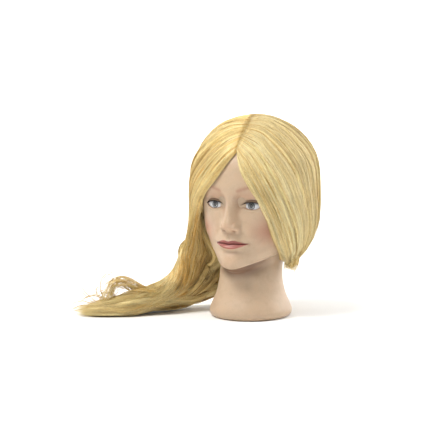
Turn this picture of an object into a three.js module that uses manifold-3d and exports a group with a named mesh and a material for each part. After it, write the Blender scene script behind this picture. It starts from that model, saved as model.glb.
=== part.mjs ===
// Hairdresser's training head: a soft moulded shell with rooted long hair,
// a foam core, a clamp socket in the neck and a flat base plate.
// Millimetres, +Z up, face towards -Y, the head's own left towards +X.
import * as THREE from 'three';
import { mergeVertices } from 'three/addons/utils/BufferGeometryUtils.js';
import Module from 'manifold-3d';

const wasm = await Module();
wasm.setup();

// ---------------------------------------------------------------- driving dimensions
const NECK_AXIS_X = 69.5;         // neck axis in the part's frame: the origin is the centre of the
const NECK_AXIS_Y = 5.5;          // whole part's footprint box, hair on the table included
const WALL = 3.4;                // shell thickness
const GAP = 0.3;                 // clearance between pieces that touch
const GLUE_THICK = 0.9;          // film of glue behind the scalp
const PLATE_THICK = 5;           // neck base plate
const SOCKET_MOUTH_R = 12.6;     // clamp socket, inside radius at the mouth
const SOCKET_END_R = 11.2;       // and at the blind end
const SOCKET_DEPTH = 74;         // depth of the blind hole
const SOCKET_WALL = 2.6;
const SOCKET_FLANGE_R = 25;
const SOCKET_FLANGE_T = 3;
const HAIR_GAP = 1.0;            // clearance between scalp and hair solids
const EYE_R = 70;                // outside radius of the shallow eye caps
const EYE_X = 18.3, EYE_F = -16.9, EYE_Z = 159.7;   // centre of that radius, F is the reach towards the front
const EYE_MID = 27.0, EYE_HALF_W = 15.9, EYE_HALF_H = 10.2;   // oval outline of the caps
const EYE_CUT = 46.8;            // flat back of the eye caps
const LID = 1.5;                 // eyelid thickness over the cap
const EYE_IN = 12.8, EYE_OUT = 41.2;             // corners of the eye, distance from the middle
const SOCKET_SINK = 4.5;         // how far the eye sockets sink into the face
const TABLE_GAP = 0.4;           // hair lies this far above the base plane

// ---------------------------------------------------------------- head form
// Each row is one ring of the head, from the foot to the crown:
// front reach, front height, half width, y of the widest point, side height,
// back reach, back height, front squareness (2 = round, lower = more pointed)
const ROWS = [
  [54.0, 0.0, 51.0, 0, 0.0, 54.0, 0.0, 2.0],
  [58.6, 3.0, 55.6, 0, 3.0, 58.6, 3.0, 2.0],
  [60.0, 9.0, 57.3, 0, 9.0, 60.0, 9.0, 2.0],
  [57.5, 17.0, 54.6, 0, 17.5, 57.2, 17.5, 2.0],
  [51.0, 30.0, 48.6, 0, 32.0, 51.2, 32.0, 2.0],
  [46.0, 45.0, 44.5, 0, 50.0, 47.6, 50.0, 2.0],
  [45.0, 56.0, 43.6, 2, 66.0, 47.0, 66.0, 1.95],
  [47.0, 64.6, 43.8, 4, 78.5, 48.5, 80.0, 1.75],
  [57.4, 69.0, 47.0, 6, 86.5, 53.0, 92.0, 1.50],
  [65.4, 75.4, 52.7, 8, 92.7, 61.0, 103.0, 1.42],
  [66.6, 87.0, 61.6, 9, 102.0, 71.0, 114.0, 1.46],
  [65.2, 99.0, 67.4, 10, 113.0, 83.0, 127.0, 1.53],
  [65.0, 112.0, 72.8, 11, 126.0, 93.0, 141.0, 1.60],
  [63.0, 127.0, 75.2, 12, 140.0, 99.5, 155.0, 1.68],
  [60.8, 143.0, 75.4, 13, 154.0, 102.5, 169.0, 1.84],
  [62.0, 159.0, 75.6, 14, 168.0, 103.5, 182.0, 2.10],
  [66.0, 174.0, 76.2, 15, 181.0, 102.5, 195.0, 2.20],
  [68.0, 188.0, 76.6, 16, 194.0, 99.5, 208.0, 2.20],
  [67.0, 202.0, 76.4, 17, 207.0, 94.0, 220.0, 2.15],
  [62.0, 217.0, 74.0, 17, 220.0, 85.5, 232.0, 2.10],
  [52.5, 232.0, 68.0, 17, 233.0, 74.0, 243.5, 2.05],
  [38.5, 246.0, 57.5, 17, 246.0, 60.0, 253.5, 2.0],
  [21.0, 258.0, 41.5, 17, 257.5, 45.5, 262.0, 2.0],
  [2.0, 266.5, 22.0, 18, 266.5, 31.5, 268.3, 2.0],
  [-18.0, 270.5, 0.0, 18, 270.5, 18.0, 270.5, 2.0],
];
const TOP = ROWS.length - 1;

const V = (x, y, z) => new THREE.Vector3(x, y, z);
const clamp = (v, a, b) => Math.min(b, Math.max(a, v));
const mix = (a, b, f) => a + (b - a) * f;
const smooth = (a, b, v) => { const f = clamp((v - a) / (b - a), 0, 1); return f * f * (3 - 2 * f); };

function row(t) {
  const i = clamp(Math.floor(t), 0, TOP - 1), f = t - i;
  const p0 = ROWS[Math.max(i - 1, 0)], p1 = ROWS[i], p2 = ROWS[i + 1], p3 = ROWS[Math.min(i + 2, TOP)];
  return p1.map((_, k) => 0.5 * (2 * p1[k] + (p2[k] - p0[k]) * f
    + (2 * p0[k] - 5 * p1[k] + 4 * p2[k] - p3[k]) * f * f
    + (3 * p1[k] - p0[k] - 3 * p2[k] + p3[k]) * f * f * f));
}
// point on the bare head: t runs up the rows, phi is 0 at the front and +90 degrees at +X
function head(t, phi) {
  const [F, zf, w, ys, zs, B, zb, n] = row(t);
  const s = Math.sin(phi), c = Math.cos(phi), g = c * c;
  if (c >= 0) {
    const d = 2 * (1 - 2 ** (-1 / n) * Math.SQRT2);      // how much slimmer than an ellipse the front is
    return V(w * s * (1 - 0.62 * d * c * c), ys - (F + ys) * c * (1 - 1.38 * d * s * s), mix(zs, zf, g));
  }
  return V(w * s, ys + (B - ys) * -c, mix(zs, zb, g));
}
function headNormal(t, phi) {
  const h = 1e-3, tt = clamp(t, h, TOP - 2 * h);
  const a = head(tt + h, phi).sub(head(tt - h, phi));
  const b = head(tt, phi + h).sub(head(tt, phi - h));
  return b.cross(a).normalize();
}
const offset = (t, phi, d) => head(t, phi).addScaledVector(headNormal(t, phi), d);

// nose, brow, lips, chin and eyelids as additions to the plain form (only on the outside)
function face(p) {
  if (p.y > -20) return p;
  const g = (x0, z0, sx, sz) => Math.exp(-(((p.x - x0) / sx) ** 2) - (((p.z - z0) / sz) ** 2));
  let d = 0;
  d += 10.5 * g(0, 133.5, 8, 7) + 6.5 * g(0, 148, 6.5, 14);             // nose
  d += 2.8 * g(9.5, 130, 4.5, 5) + 2.8 * g(-9.5, 130, 4.5, 5);           // wings of the nose
  d += 3.2 * g(0, 110, 17, 8) - 1.8 * g(0, 97, 14, 5);                   // lips, and the dip under them
  d += 1.5 * g(0, 81, 13, 8);                                            // chin
  d += 1.2 * (g(17, 181, 11, 6) + g(-17, 181, 11, 6));                   // brows
  let F = -p.y + d;
  const u = Math.abs(p.x) - EYE_X, w = p.z - EYE_Z, q = (EYE_R + LID) ** 2 - u * u - w * w;
  const out = ((Math.abs(p.x) - EYE_MID) / 19) ** 2 + (w / 13) ** 2;
  if (q > 0) F = Math.max(F, EYE_F + Math.sqrt(q) - 14 * smooth(0.6, 1.5, out));
  return V(p.x, -F, p.z);
}
// eye sockets: shared by the outside, the inside and the core
function sockets(p) {
  if (p.y > -20) return p;
  const g = (x0, z0, sx, sz) => Math.exp(-(((p.x - x0) / sx) ** 2) - (((p.z - z0) / sz) ** 2));
  return V(p.x, p.y + SOCKET_SINK * (g(EYE_X, 162, 15, 10) + g(-EYE_X, 162, 15, 10)), p.z);
}

// ---------------------------------------------------------------- solid builders
function closed(geometry, fn) {
  // move every vertex of a closed primitive and weld its seams
  const g = geometry.clone();
  g.deleteAttribute('normal'); g.deleteAttribute('uv');
  const p = g.attributes.position, v = V(0, 0, 0);
  for (let i = 0; i < p.count; i++) {
    v.fromBufferAttribute(p, i);
    const q = fn(v.x, v.y, v.z);
    p.setXYZ(i, q.x, q.y, q.z);
  }
  const m = mergeVertices(g, 1e-4);
  // drop the triangles that the welding collapsed
  const ix = m.index.array, keep = [];
  for (let i = 0; i < ix.length; i += 3) {
    if (ix[i] !== ix[i + 1] && ix[i + 1] !== ix[i + 2] && ix[i] !== ix[i + 2]) keep.push(ix[i], ix[i + 1], ix[i + 2]);
  }
  // faces point out: a negative volume means the map turned the body inside out
  const q = m.attributes.position.array;
  let vol = 0;
  for (let i = 0; i < keep.length; i += 3) {
    const [a, b, c] = [keep[i] * 3, keep[i + 1] * 3, keep[i + 2] * 3];
    vol += q[a] * (q[b + 1] * q[c + 2] - q[b + 2] * q[c + 1]) - q[a + 1] * (q[b] * q[c + 2] - q[b + 2] * q[c])
      + q[a + 2] * (q[b] * q[c + 1] - q[b + 1] * q[c]);
  }
  if (vol < 0) for (let i = 0; i < keep.length; i += 3) [keep[i + 1], keep[i + 2]] = [keep[i + 2], keep[i + 1]];
  m.setIndex(keep);
  return m;
}
function toSolid(geometry) {
  const g = mergeVertices(geometry, 1e-4);
  return new wasm.Manifold(new wasm.Mesh({
    numProp: 3,
    vertProperties: new Float32Array(g.attributes.position.array),
    triVerts: new Uint32Array(g.index.array),
  }));
}
function fromSolid(solid) {
  const m = solid.getMesh(), g = new THREE.BufferGeometry();
  const n = m.numProp, pos = new Float32Array(m.vertProperties.length / n * 3);
  for (let i = 0; i < pos.length / 3; i++) for (let k = 0; k < 3; k++) pos[3 * i + k] = m.vertProperties[n * i + k];
  g.setAttribute('position', new THREE.BufferAttribute(pos, 3));
  g.setIndex(new THREE.BufferAttribute(new Uint32Array(m.triVerts), 1));
  return g;
}
function bare(g) { const c = g.clone(); c.deleteAttribute('normal'); c.deleteAttribute('uv'); return mergeVertices(c, 1e-4); }
// body of revolution about the neck axis, from [radius, height] pairs that start and end on the axis
function turned(profile, segments = 40) {
  return closed(new THREE.LatheGeometry(profile.map(([r, z]) => new THREE.Vector2(r, z)), segments), (x, y, z) => V(x, -z, y));
}
// solid dome over the head rows, from row t0 up to the crown, flat underneath at height z0
// (crowd > 0 gathers the segments towards the front, span gathers the rings between two rows)
function dome(t0, z0, rings, segments, surf, crowd = 0, span = null) {
  const sphere = new THREE.SphereGeometry(1, segments, rings + 4);
  const rowOf = (f) => {
    if (!span) return mix(TOP, t0, f);
    const [t1, t2, share] = span, rest = 1 - share, above = rest * (TOP - t2) / (TOP - t2 + t1 - t0);
    if (f < above) return mix(TOP, t2, f / above);
    if (f < above + share) return mix(t2, t1, (f - above) / share);
    return mix(t1, t0, (f - above - share) / (rest - above));
  };
  return closed(sphere, (x, y, z) => {
    const th = Math.acos(clamp(y, -1, 1)) / Math.PI * (rings + 4);     // 0 at the crown
    const ring = Math.round(th), raw = Math.atan2(x, -z), ph = raw - crowd * Math.sin(raw);
    if (ring <= rings) return surf(rowOf(ring / rings), ring === 0 ? 0 : ph);
    const q = surf(t0, ph), f = 1 - (ring - rings) / 4;
    return V(q.x * f, q.y * f, z0);
  });
}
// curved slab: u and v run over a patch, k runs from the inner face to the outer one
function slab(nu, nv, fn) {
  return closed(new THREE.BoxGeometry(1, 1, 1, nu, nv, 1), (x, y, z) => fn(x + 0.5, y + 0.5, z + 0.5));
}
// tapered lock along a path with an oval section: half widths [across, up] at each path point,
// measured along ref-cross-path and along ref
function lock(points, sizes, steps, segments, ref = V(0, 0, 1)) {
  const curve = new THREE.CatmullRomCurve3(points.map((p) => V(...p)), false, 'centripetal');
  const sphere = new THREE.SphereGeometry(1, segments, steps);
  return closed(sphere, (x, y, z) => {
    const th = Math.acos(clamp(y, -1, 1)) / Math.PI;                   // 0 at the start, 1 at the end
    const f = th * (points.length - 1), i = clamp(Math.floor(f), 0, points.length - 2);
    const s = [0, 1].map((k) => mix(sizes[i][k], sizes[i + 1][k], smooth(0, 1, f - i)));
    const c = curve.getPoint(th), tan = curve.getTangent(th);
    const side = ref.clone().cross(tan).normalize(), up = tan.clone().cross(side).normalize();
    const ph = Math.atan2(z, x), edge = th < 1e-6 || th > 1 - 1e-6 ? 0 : 1;
    return c.addScaledVector(side, -Math.cos(ph) * s[0] * edge).addScaledVector(up, Math.sin(ph) * s[1] * edge);
  });
}

// ---------------------------------------------------------------- materials
const mat = (color, roughness, metalness = 0) => new THREE.MeshStandardMaterial({ color, roughness, metalness });
const SKIN = mat(0xd6b895, 0.55), FOAM = mat(0xe8dcb4, 0.95), GLUE = mat(0xcdbb8c, 0.5);
const PLASTIC = mat(0x3a3a3c, 0.45), PLATE = mat(0xcbb08f, 0.6), EYE = mat(0xd8dadd, 0.08), LASH = mat(0x1c1713, 0.6);
const HAIR = [0xe3cc85, 0xdcc27a, 0xd2b56b].map((c) => mat(c, 0.5));

const group = new THREE.Group();
const inner = new THREE.Group();
inner.position.set(NECK_AXIS_X, NECK_AXIS_Y, 0);
group.add(inner);
function add(name, geometry, material) {
  const m = new THREE.Mesh(geometry, material.clone());
  m.name = name;
  inner.add(m);
}

// ---------------------------------------------------------------- shell, glue film, core
const CORE_SEG = 24;
// the hairline plane runs from the forehead to the nape; distances are taken behind it
const skinOut = (t, ph) => face(sockets(head(t, ph)));
const skinIn = (t, ph) => sockets(offset(t, ph, -WALL));
const coreFace = (t, ph) => sockets(offset(t, ph, -(WALL + GAP)));
const coreScalp = (t, ph) => sockets(offset(t, ph, -(WALL + GAP + GLUE_THICK + GAP)));

const PLATE_X = 47, PLATE_Y = 49.6;    // half sizes of the oval mouth of the neck
const oval = (rx, ry, z0, z1, seg = 40) => closed(new THREE.CylinderGeometry(1, 1, 1, seg, 1), (x, y, z) => V(x * rx, z * ry, mix(z0, z1, y + 0.5)));
const ball = (x, y, z, r, a = 20, b = 12) => closed(new THREE.SphereGeometry(r, a, b), (u, v, w) => V(x + u, y - v, z + w));
const block = (x0, x1, y0, y1, z0, z1) => closed(new THREE.BoxGeometry(1, 1, 1), (x, y, z) => V(mix(x0, x1, x + 0.5), mix(y0, y1, y + 0.5), mix(z0, z1, z + 0.5)));

// oval plug with a domed front: the eye cap, or the room for it when grown, or cut straight through
const eyeCap = (side, grown, through = 0) => closed(new THREE.SphereGeometry(1, 32, 10), (x, y, z) => {
  const th = Math.round(Math.acos(clamp(y, -1, 1)) / Math.PI * 10), ph = Math.atan2(z, x);
  const r = th <= 5 ? th / 5 : th === 6 ? 1 : (10 - th) / 4;
  const px = EYE_MID + r * Math.cos(ph) * (EYE_HALF_W + grown), pz = EYE_Z + r * Math.sin(ph) * (EYE_HALF_H + grown);
  const front = EYE_F + Math.sqrt((EYE_R + grown) ** 2 - (px - EYE_X) ** 2 - (pz - EYE_Z) ** 2) + through;
  return V(side * px, th <= 5 ? -front : -(EYE_CUT - grown), pz);
});
// reach of the finished face at a point seen from the front
function reach(x, z) {
  let best = null, near = 1e9;
  for (let t = 11; t < 18; t += 0.05) for (let a = 0; a < 60; a += 1) {
    const q = skinOut(t, a * Math.PI / 180), d = (q.x - x) ** 2 + (q.z - z) ** 2;
    if (d < near) [near, best] = [d, -q.y];
  }
  return best;
}

let skin = toSolid(dome(0, 0, 46, 56, skinOut, 0.45, [7, 17, 0.62]));
skin = skin.subtract(toSolid(dome(1.3, PLATE_THICK + 0.3, 20, CORE_SEG, skinIn)));
skin = skin.subtract(toSolid(oval(PLATE_X + 0.3, PLATE_Y + 0.3, -3, PLATE_THICK + 1)));
// the seat of the eye cap behind the lids, then the almond opening between them
const upperLid = [[0, 0], [0.08, 2.0], [0.2, 3.7], [0.38, 4.7], [0.55, 4.9], [0.72, 4.2], [0.87, 2.7], [0.96, 1.1], [1, 0]];
const lowerLid = [[1, 0], [0.96, 1.4], [0.87, 3.3], [0.72, 4.7], [0.55, 4.7], [0.38, 3.7], [0.2, 2.0], [0.07, 0.7]];
for (const side of [-1, 1]) {
  skin = skin.subtract(toSolid(eyeCap(side, 0.3)));
  const at = (u) => [mix(EYE_IN, EYE_OUT, u), mix(158.3, 160.4, u)];
  const almond = new THREE.Shape();
  upperLid.forEach(([u, h], i) => { const [x, z] = at(u); if (i) almond.lineTo(side * x, z + h); else almond.moveTo(side * x, z + h); });
  lowerLid.forEach(([u, h], i) => { const [x, z] = at(u); if (i) almond.lineTo(side * x, z - h); });
  almond.closePath();
  const opening = closed(new THREE.ExtrudeGeometry(almond, { depth: 22, bevelEnabled: false }), (x, y, z) => V(x, -(EYE_CUT + z), y));
  skin = skin.subtract(toSolid(opening));
}
skin = skin.decompose().sort((a, b) => b.volume() - a.volume())[0];
add('head_skin', fromSolid(skin), SKIN);

// film of glue behind the rooted scalp
const film = toSolid(dome(1.3, 20, 20, CORE_SEG, (t, ph) => offset(t, ph, -(WALL + GAP))))
  .subtract(toSolid(dome(1.3, 10, 20, CORE_SEG, (t, ph) => offset(t, ph, -(WALL + GAP + GLUE_THICK)))));
const behindHairline = (s0) => toSolid(closed(new THREE.BoxGeometry(1, 1, 1), (x, y, z) => {
  const a = s0 + (y + 0.5) * 300, b = z * 400;          // along the plane's normal, and along its slope
  return V(x * 300, -45 + a * 0.822 + b * -0.57, 232 + a * 0.57 + b * 0.822);
}));
add('root_glue_layer', fromSolid(film.intersect(behindHairline(9))), GLUE);

// foam core, bored for the socket
let core = toSolid(dome(1.3, PLATE_THICK + 0.6, 20, CORE_SEG, coreFace)).subtract(behindHairline(8.6))
  .add(toSolid(dome(1.3, PLATE_THICK + 0.6, 20, CORE_SEG, coreScalp)));
core = core.subtract(toSolid(turned([[0, -1], [SOCKET_FLANGE_R + 0.3, -1],
  [SOCKET_FLANGE_R + 0.3, PLATE_THICK + SOCKET_FLANGE_T + 0.6],
  [SOCKET_MOUTH_R + SOCKET_WALL + 0.3, PLATE_THICK + SOCKET_FLANGE_T + 0.6],
  [SOCKET_END_R + SOCKET_WALL + 0.3, SOCKET_DEPTH + SOCKET_WALL + 0.9],
  [0, SOCKET_DEPTH + SOCKET_WALL + 0.9]], 32)));
for (const side of [-1, 1]) {
  core = core.subtract(toSolid(eyeCap(side, 0.4, 20)));
}
add('foam_core', fromSolid(core), FOAM);

// clamp socket: tapered blind sleeve with a flange on top of the base plate
add('clamp_socket', turned([[0, SOCKET_DEPTH + 0.6], [SOCKET_END_R, SOCKET_DEPTH + 0.6], [SOCKET_MOUTH_R, 0.6],
  [SOCKET_MOUTH_R + SOCKET_WALL, 0.6], [SOCKET_MOUTH_R + SOCKET_WALL, PLATE_THICK + 0.3],
  [SOCKET_FLANGE_R, PLATE_THICK + 0.3], [SOCKET_FLANGE_R, PLATE_THICK + 0.3 + SOCKET_FLANGE_T],
  [SOCKET_MOUTH_R + SOCKET_WALL, PLATE_THICK + 0.3 + SOCKET_FLANGE_T],
  [SOCKET_END_R + SOCKET_WALL, SOCKET_DEPTH + 0.6 + SOCKET_WALL], [0, SOCKET_DEPTH + 0.6 + SOCKET_WALL]], 32), PLASTIC);

// base plate: flat oval disc with the socket's hole
const plateShape = new THREE.Shape().absellipse(0, 0, PLATE_X, PLATE_Y, 0, Math.PI * 2, false);
plateShape.holes.push(new THREE.Path().absarc(0, 0, SOCKET_MOUTH_R + SOCKET_WALL + 0.4, 0, Math.PI * 2, true));
add('neck_base_plate', bare(new THREE.ExtrudeGeometry(plateShape, { depth: PLATE_THICK, bevelEnabled: false, curveSegments: 20 })), PLATE);

// ---------------------------------------------------------------- eyes and lashes
for (const [name, side] of [['right', -1], ['left', 1]]) {
  add('eye_' + name, eyeCap(side, 0), EYE);
  const lid = new THREE.CatmullRomCurve3([0.10, 0.28, 0.5, 0.72, 0.9].map((u, i) => {
    const x = mix(EYE_IN, EYE_OUT, u), z = mix(158.3, 160.4, u) + [2.3, 4.2, 4.9, 4.2, 2.2][i] + 0.2;
    return V(side * x, -(reach(x, z) + 1.5), z);
  }));
  const section = new THREE.Shape().absellipse(0, 0, 0.5, 0.5, 0, Math.PI * 2, false);
  add('lash_' + name, bare(new THREE.ExtrudeGeometry(section, { steps: 10, curveSegments: 2, extrudePath: lid })), LASH);
}

// ---------------------------------------------------------------- hair
const table = (rows, t) => {
  if (t <= rows[0][0]) return rows[0][1];
  for (let i = 1; i < rows.length; i++) if (t <= rows[i][0]) return mix(rows[i - 1][1], rows[i][1], (t - rows[i - 1][0]) / (rows[i][0] - rows[i - 1][0]));
  return rows[rows.length - 1][1];
};
const DEG = Math.PI / 180;
const edgeLeft = (t) => DEG * table([[6, 100], [9.4, 67], [11.8, 52], [13.6, 39], [14.9, 30], [15.8, 27], [17, 19], [18.2, 12], [19.9, 5.2], [20.3, 4.6]], t);
const edgeRight = (t) => DEG * table([[11, -72], [13, -62], [14.5, -50], [16.2, -32], [17.2, -17.5], [18.35, -8.5], [19.3, -1], [20.1, 3.2], [20.3, 3.4]], t);
const hFront = [[8, 8], [16, 8], [19, 6.5], [21, 9], [22.5, 11.5], [23.5, 12.5]];
const hSideLeft = [[8, 18], [12, 13], [16, 10.5], [20, 10.5], [22, 12], [23.5, 12.5]];
const hSideRight = [[8, 20], [10.5, 19], [13.5, 19], [15, 16.5], [16.5, 13], [18, 11], [20, 10.5], [22, 12], [23.5, 12.5]];
const hBack = [[8, 28], [11, 23], [14, 17], [18, 12], [21, 12], [23.5, 12.5]];
const thick = (t, ph) => {
  const c = Math.cos(ph), g = c * c;
  return mix(table(Math.sin(ph) >= 0 ? hSideLeft : hSideRight, t), table(c >= 0 ? hFront : hBack, t), g);
};
const hairPoint = (t, ph, k) => offset(t, ph, mix(HAIR_GAP, thick(t, ph), k));
const HAIR_TOP = 23.2;

add('hair_front_left', slab(8, 16, (u, v, k) => { const t = mix(9.6, HAIR_TOP, v); return hairPoint(t, mix(edgeLeft(t), 96 * DEG, u), k * mix(0.45, 1, smooth(0, 0.25, u))); }), HAIR[0]);
add('hair_front_right', slab(8, 15, (u, v, k) => { const t = mix(11.2, HAIR_TOP, v); return hairPoint(t, mix(-96 * DEG, edgeRight(t), u), k * mix(0.45, 1, smooth(1, 0.75, u))); }), HAIR[1]);
add('hair_back', slab(14, 15, (u, v, k) => { const t = mix(8.8, HAIR_TOP, v); return hairPoint(t, mix(96.8 * DEG, 263.2 * DEG, u), k); }), HAIR[1]);
add('hair_crown', closed(new THREE.SphereGeometry(1, 24, 6), (x, y, z) => {
  const th = Math.acos(clamp(y, -1, 1)) / Math.PI, ph = Math.atan2(x, -z), up = th <= 0.5;
  const f = up ? th * 2 : (1 - th) * 2;
  return hairPoint(mix(TOP, HAIR_TOP + 0.12, f), f < 1e-6 ? 0 : ph, Math.abs(th - 0.5) < 1e-6 ? 0.5 : up ? 1 : 0);
}), HAIR[0]);

// ragged short tuft behind the left jaw
add('hair_tuft_left', lock([[60, 8, 84], [61, 8, 77], [59, 8, 69]], [[7, 13], [8, 14], [5, 10]], 10, 14), HAIR[2]);

// fall beside the right cheek, sweep round the nape, tress on the table, curled end
const OUT = V(-1, 0, 0);
const fallPts = [[-86, 2, 105.5], [-87.5, 3, 98], [-89, 5, 88], [-91.5, 3, 75], [-96, -3, 61], [-102, -13, 47], [-109, -25, 36]];
const fallSize = [[16, 7], [21, 10], [26, 13.5], [29, 17], [27, 17], [25, 16], [21, 13]];
const sweepPts = [[28, 57, 76], [6, 66, 72], [-25, 70, 62], [-54, 62, 52], [-72, 44, 45], [-88, 22, 37]];
const sweepSize = [[6, 7], [10, 13], [13, 20], [15, 25], [16, 24], [16, 18]];
const tressPts = [[-84, 28, 38], [-103, 0, 30], [-118, -26, 23], [-132, -50, 18.5], [-150, -78, 15.5], [-176, -101, 14]];
const tressSize = [[15, 16], [21, 21], [23, 19], [23, 17], [22, 14.6], [18, 12.6]];
const endPts = [[-170, -99, 13.8], [-189, -108, 12], [-207, -112, 9.5], [-226, -116, 6]];
const endSize = [[17, 12], [21, 11], [19, 8.5], [12, 5]];
const grow = (s) => s.map(([a, b]) => [a + 0.5, b + 0.5]);
const tress = toSolid(lock(tressPts, tressSize, 22, 16));
const tressBig = toSolid(lock(tressPts, grow(tressSize), 22, 16));
const sweep = toSolid(lock(sweepPts, sweepSize, 16, 16)).subtract(tressBig);
const sweepBig = toSolid(lock(sweepPts, grow(sweepSize), 16, 16));
const fall = toSolid(lock(fallPts, fallSize, 18, 16, OUT)).subtract(tressBig).subtract(sweepBig);
const biggest = (s) => s.decompose().sort((a, b) => b.volume() - a.volume())[0];
add('hair_side_fall', fromSolid(biggest(fall)), HAIR[1]);
add('hair_nape_sweep', fromSolid(biggest(sweep)), HAIR[2]);
add('hair_tress', fromSolid(biggest(tress)), HAIR[0]);
add('hair_tress_end', fromSolid(biggest(toSolid(lock(endPts, endSize, 12, 16)).subtract(tressBig))), HAIR[0]);

export default group;
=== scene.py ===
# Hairdresser's training head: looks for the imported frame.
import bpy
import math
import numpy as np
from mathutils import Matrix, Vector

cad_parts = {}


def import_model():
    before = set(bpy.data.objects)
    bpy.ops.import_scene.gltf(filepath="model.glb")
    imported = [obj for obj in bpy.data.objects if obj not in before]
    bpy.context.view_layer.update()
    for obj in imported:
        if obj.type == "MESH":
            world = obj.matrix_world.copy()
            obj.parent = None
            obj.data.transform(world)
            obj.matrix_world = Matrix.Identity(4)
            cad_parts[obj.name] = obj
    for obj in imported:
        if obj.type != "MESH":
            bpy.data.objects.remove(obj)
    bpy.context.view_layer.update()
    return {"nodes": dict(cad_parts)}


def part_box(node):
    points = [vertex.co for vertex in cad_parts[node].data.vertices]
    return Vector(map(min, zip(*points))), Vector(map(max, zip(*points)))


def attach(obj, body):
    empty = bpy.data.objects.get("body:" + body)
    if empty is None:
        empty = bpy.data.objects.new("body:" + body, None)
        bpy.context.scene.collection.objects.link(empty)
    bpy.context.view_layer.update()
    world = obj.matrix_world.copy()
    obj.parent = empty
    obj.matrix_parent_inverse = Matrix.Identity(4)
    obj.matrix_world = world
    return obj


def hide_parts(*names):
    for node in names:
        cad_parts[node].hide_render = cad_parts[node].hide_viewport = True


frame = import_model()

lo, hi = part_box("clamp_socket")
AX, AY = (lo[0] + hi[0]) / 2, (lo[1] + hi[1]) / 2      # neck axis, metres


def world(p):
    """mm in the neck-axis frame -> metres in the row frame"""
    p = np.asarray(p, float)
    return p * 0.001 + np.array([AX, AY, 0.0])


# ---------------------------------------------------------------- camera
CAM_AZ, CAM_EL, CAM_DIST, MM_PX = math.radians(27.0), math.radians(6.0), 1.900, 1.40
b = Vector((math.sin(CAM_AZ) * math.cos(CAM_EL), -math.cos(CAM_AZ) * math.cos(CAM_EL), math.sin(CAM_EL)))
r = Vector((math.cos(CAM_AZ), math.sin(CAM_AZ), 0))
centre = Vector((AX, AY, 0.141))
cam_data = bpy.data.cameras.new("camera")
cam = bpy.data.objects.new("camera", cam_data)
bpy.context.scene.collection.objects.link(cam)
cam.location = centre + b * CAM_DIST
aim = centre - r * (36 * MM_PX * 0.001)
cam.rotation_mode = "QUATERNION"
cam.rotation_quaternion = (aim - cam.location).to_track_quat("-Z", "Y")
cam_data.sensor_width = 36
cam_data.lens = 36 * (CAM_DIST / (MM_PX * 0.001)) / 430
cam_data.clip_start, cam_data.clip_end = 0.05, 40
bpy.context.scene.camera = cam
# ---------------------------------------------------------------- head form (mm, neck-axis frame)
#   front reach, front height, half width, y of widest, side height, back reach, back height, front squareness
ROWS = np.array([
 [54.0,  0.0,51.0, 0,  0.0,  54.0,  0.0,2.0],
 [58.6,  3.0,55.6, 0,  3.0,  58.6,  3.0,2.0],
 [60.0,  9.0,57.3, 0,  9.0,  60.0,  9.0,2.0],
 [57.5, 17.0,54.6, 0, 17.5,  57.2, 17.5,2.0],
 [51.0, 30.0,48.6, 0, 32.0,  51.2, 32.0,2.0],
 [46.0, 45.0,44.5, 0, 50.0,  47.6, 50.0,2.0],
 [45.0, 56.0,43.6, 2, 66.0,  47.0, 66.0,1.95],
 [47.0, 64.6,43.8, 4, 78.5,  48.5, 80.0,1.75],
 [57.4, 69.0,47.0, 6, 86.5,  53.0, 92.0,1.50],
 [65.4, 75.4,52.7, 8, 92.7,  61.0,103.0,1.42],
 [66.6, 87.0,61.6, 9,102.0,  71.0,114.0,1.46],
 [65.2, 99.0,67.4,10,113.0,  83.0,127.0,1.53],
 [65.0,112.0,72.8,11,126.0,  93.0,141.0,1.60],
 [63.0,127.0,75.2,12,140.0,  99.5,155.0,1.68],
 [60.8,143.0,75.4,13,154.0, 102.5,169.0,1.84],
 [62.0,159.0,75.6,14,168.0, 103.5,182.0,2.10],
 [66.0,174.0,76.2,15,181.0, 102.5,195.0,2.20],
 [68.0,188.0,76.6,16,194.0,  99.5,208.0,2.20],
 [67.0,202.0,76.4,17,207.0,  94.0,220.0,2.15],
 [62.0,217.0,74.0,17,220.0,  85.5,232.0,2.10],
 [52.5,232.0,68.0,17,233.0,  74.0,243.5,2.05],
 [38.5,246.0,57.5,17,246.0,  60.0,253.5,2.0],
 [21.0,258.0,41.5,17,257.5,  45.5,262.0,2.0],
 [ 2.0,266.5,22.0,18,266.5,  31.5,268.3,2.0],
 [-18.0,270.5,0.0,18,270.5,  18.0,270.5,2.0]], float)
TOP = len(ROWS) - 1


def rows_at(R, t):
    t = np.asarray(t, float)
    n = len(R) - 1
    i = np.clip(np.floor(t).astype(int), 0, n - 1)
    f = (t - i)[..., None]
    p0, p1, p2, p3 = R[np.maximum(i - 1, 0)], R[i], R[i + 1], R[np.minimum(i + 2, n)]
    return 0.5 * (2 * p1 + (-p0 + p2) * f + (2 * p0 - 5 * p1 + 4 * p2 - p3) * f * f + (-p0 + 3 * p1 - 3 * p2 + p3) * f ** 3)


def head(t, phi):
    """Bare head: t runs up the rows, phi is 0 at the front and +90 degrees at +X."""
    t, phi = np.broadcast_arrays(np.asarray(t, float), np.asarray(phi, float))
    q = rows_at(ROWS, t)
    F, zf, w, ys, zs, B, zb, n = [q[..., k] for k in range(8)]
    s, c = np.sin(phi), np.cos(phi)
    front = c >= 0
    d = 2 * (1 - 2 ** (-1 / n) / 2 ** -0.5)
    kx = np.where(front, 0.62 * d, 0) * c * c
    ky = np.where(front, -1.38 * d, 0) * s * s
    x = w * s * (1 - kx)
    y = np.where(front, ys - (F + ys) * c * (1 + ky), ys - (B - ys) * c)
    g = c * c
    z = np.where(front, zs + (zf - zs) * g, zs + (zb - zs) * g)
    return np.stack([x, y, z], -1)


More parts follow.
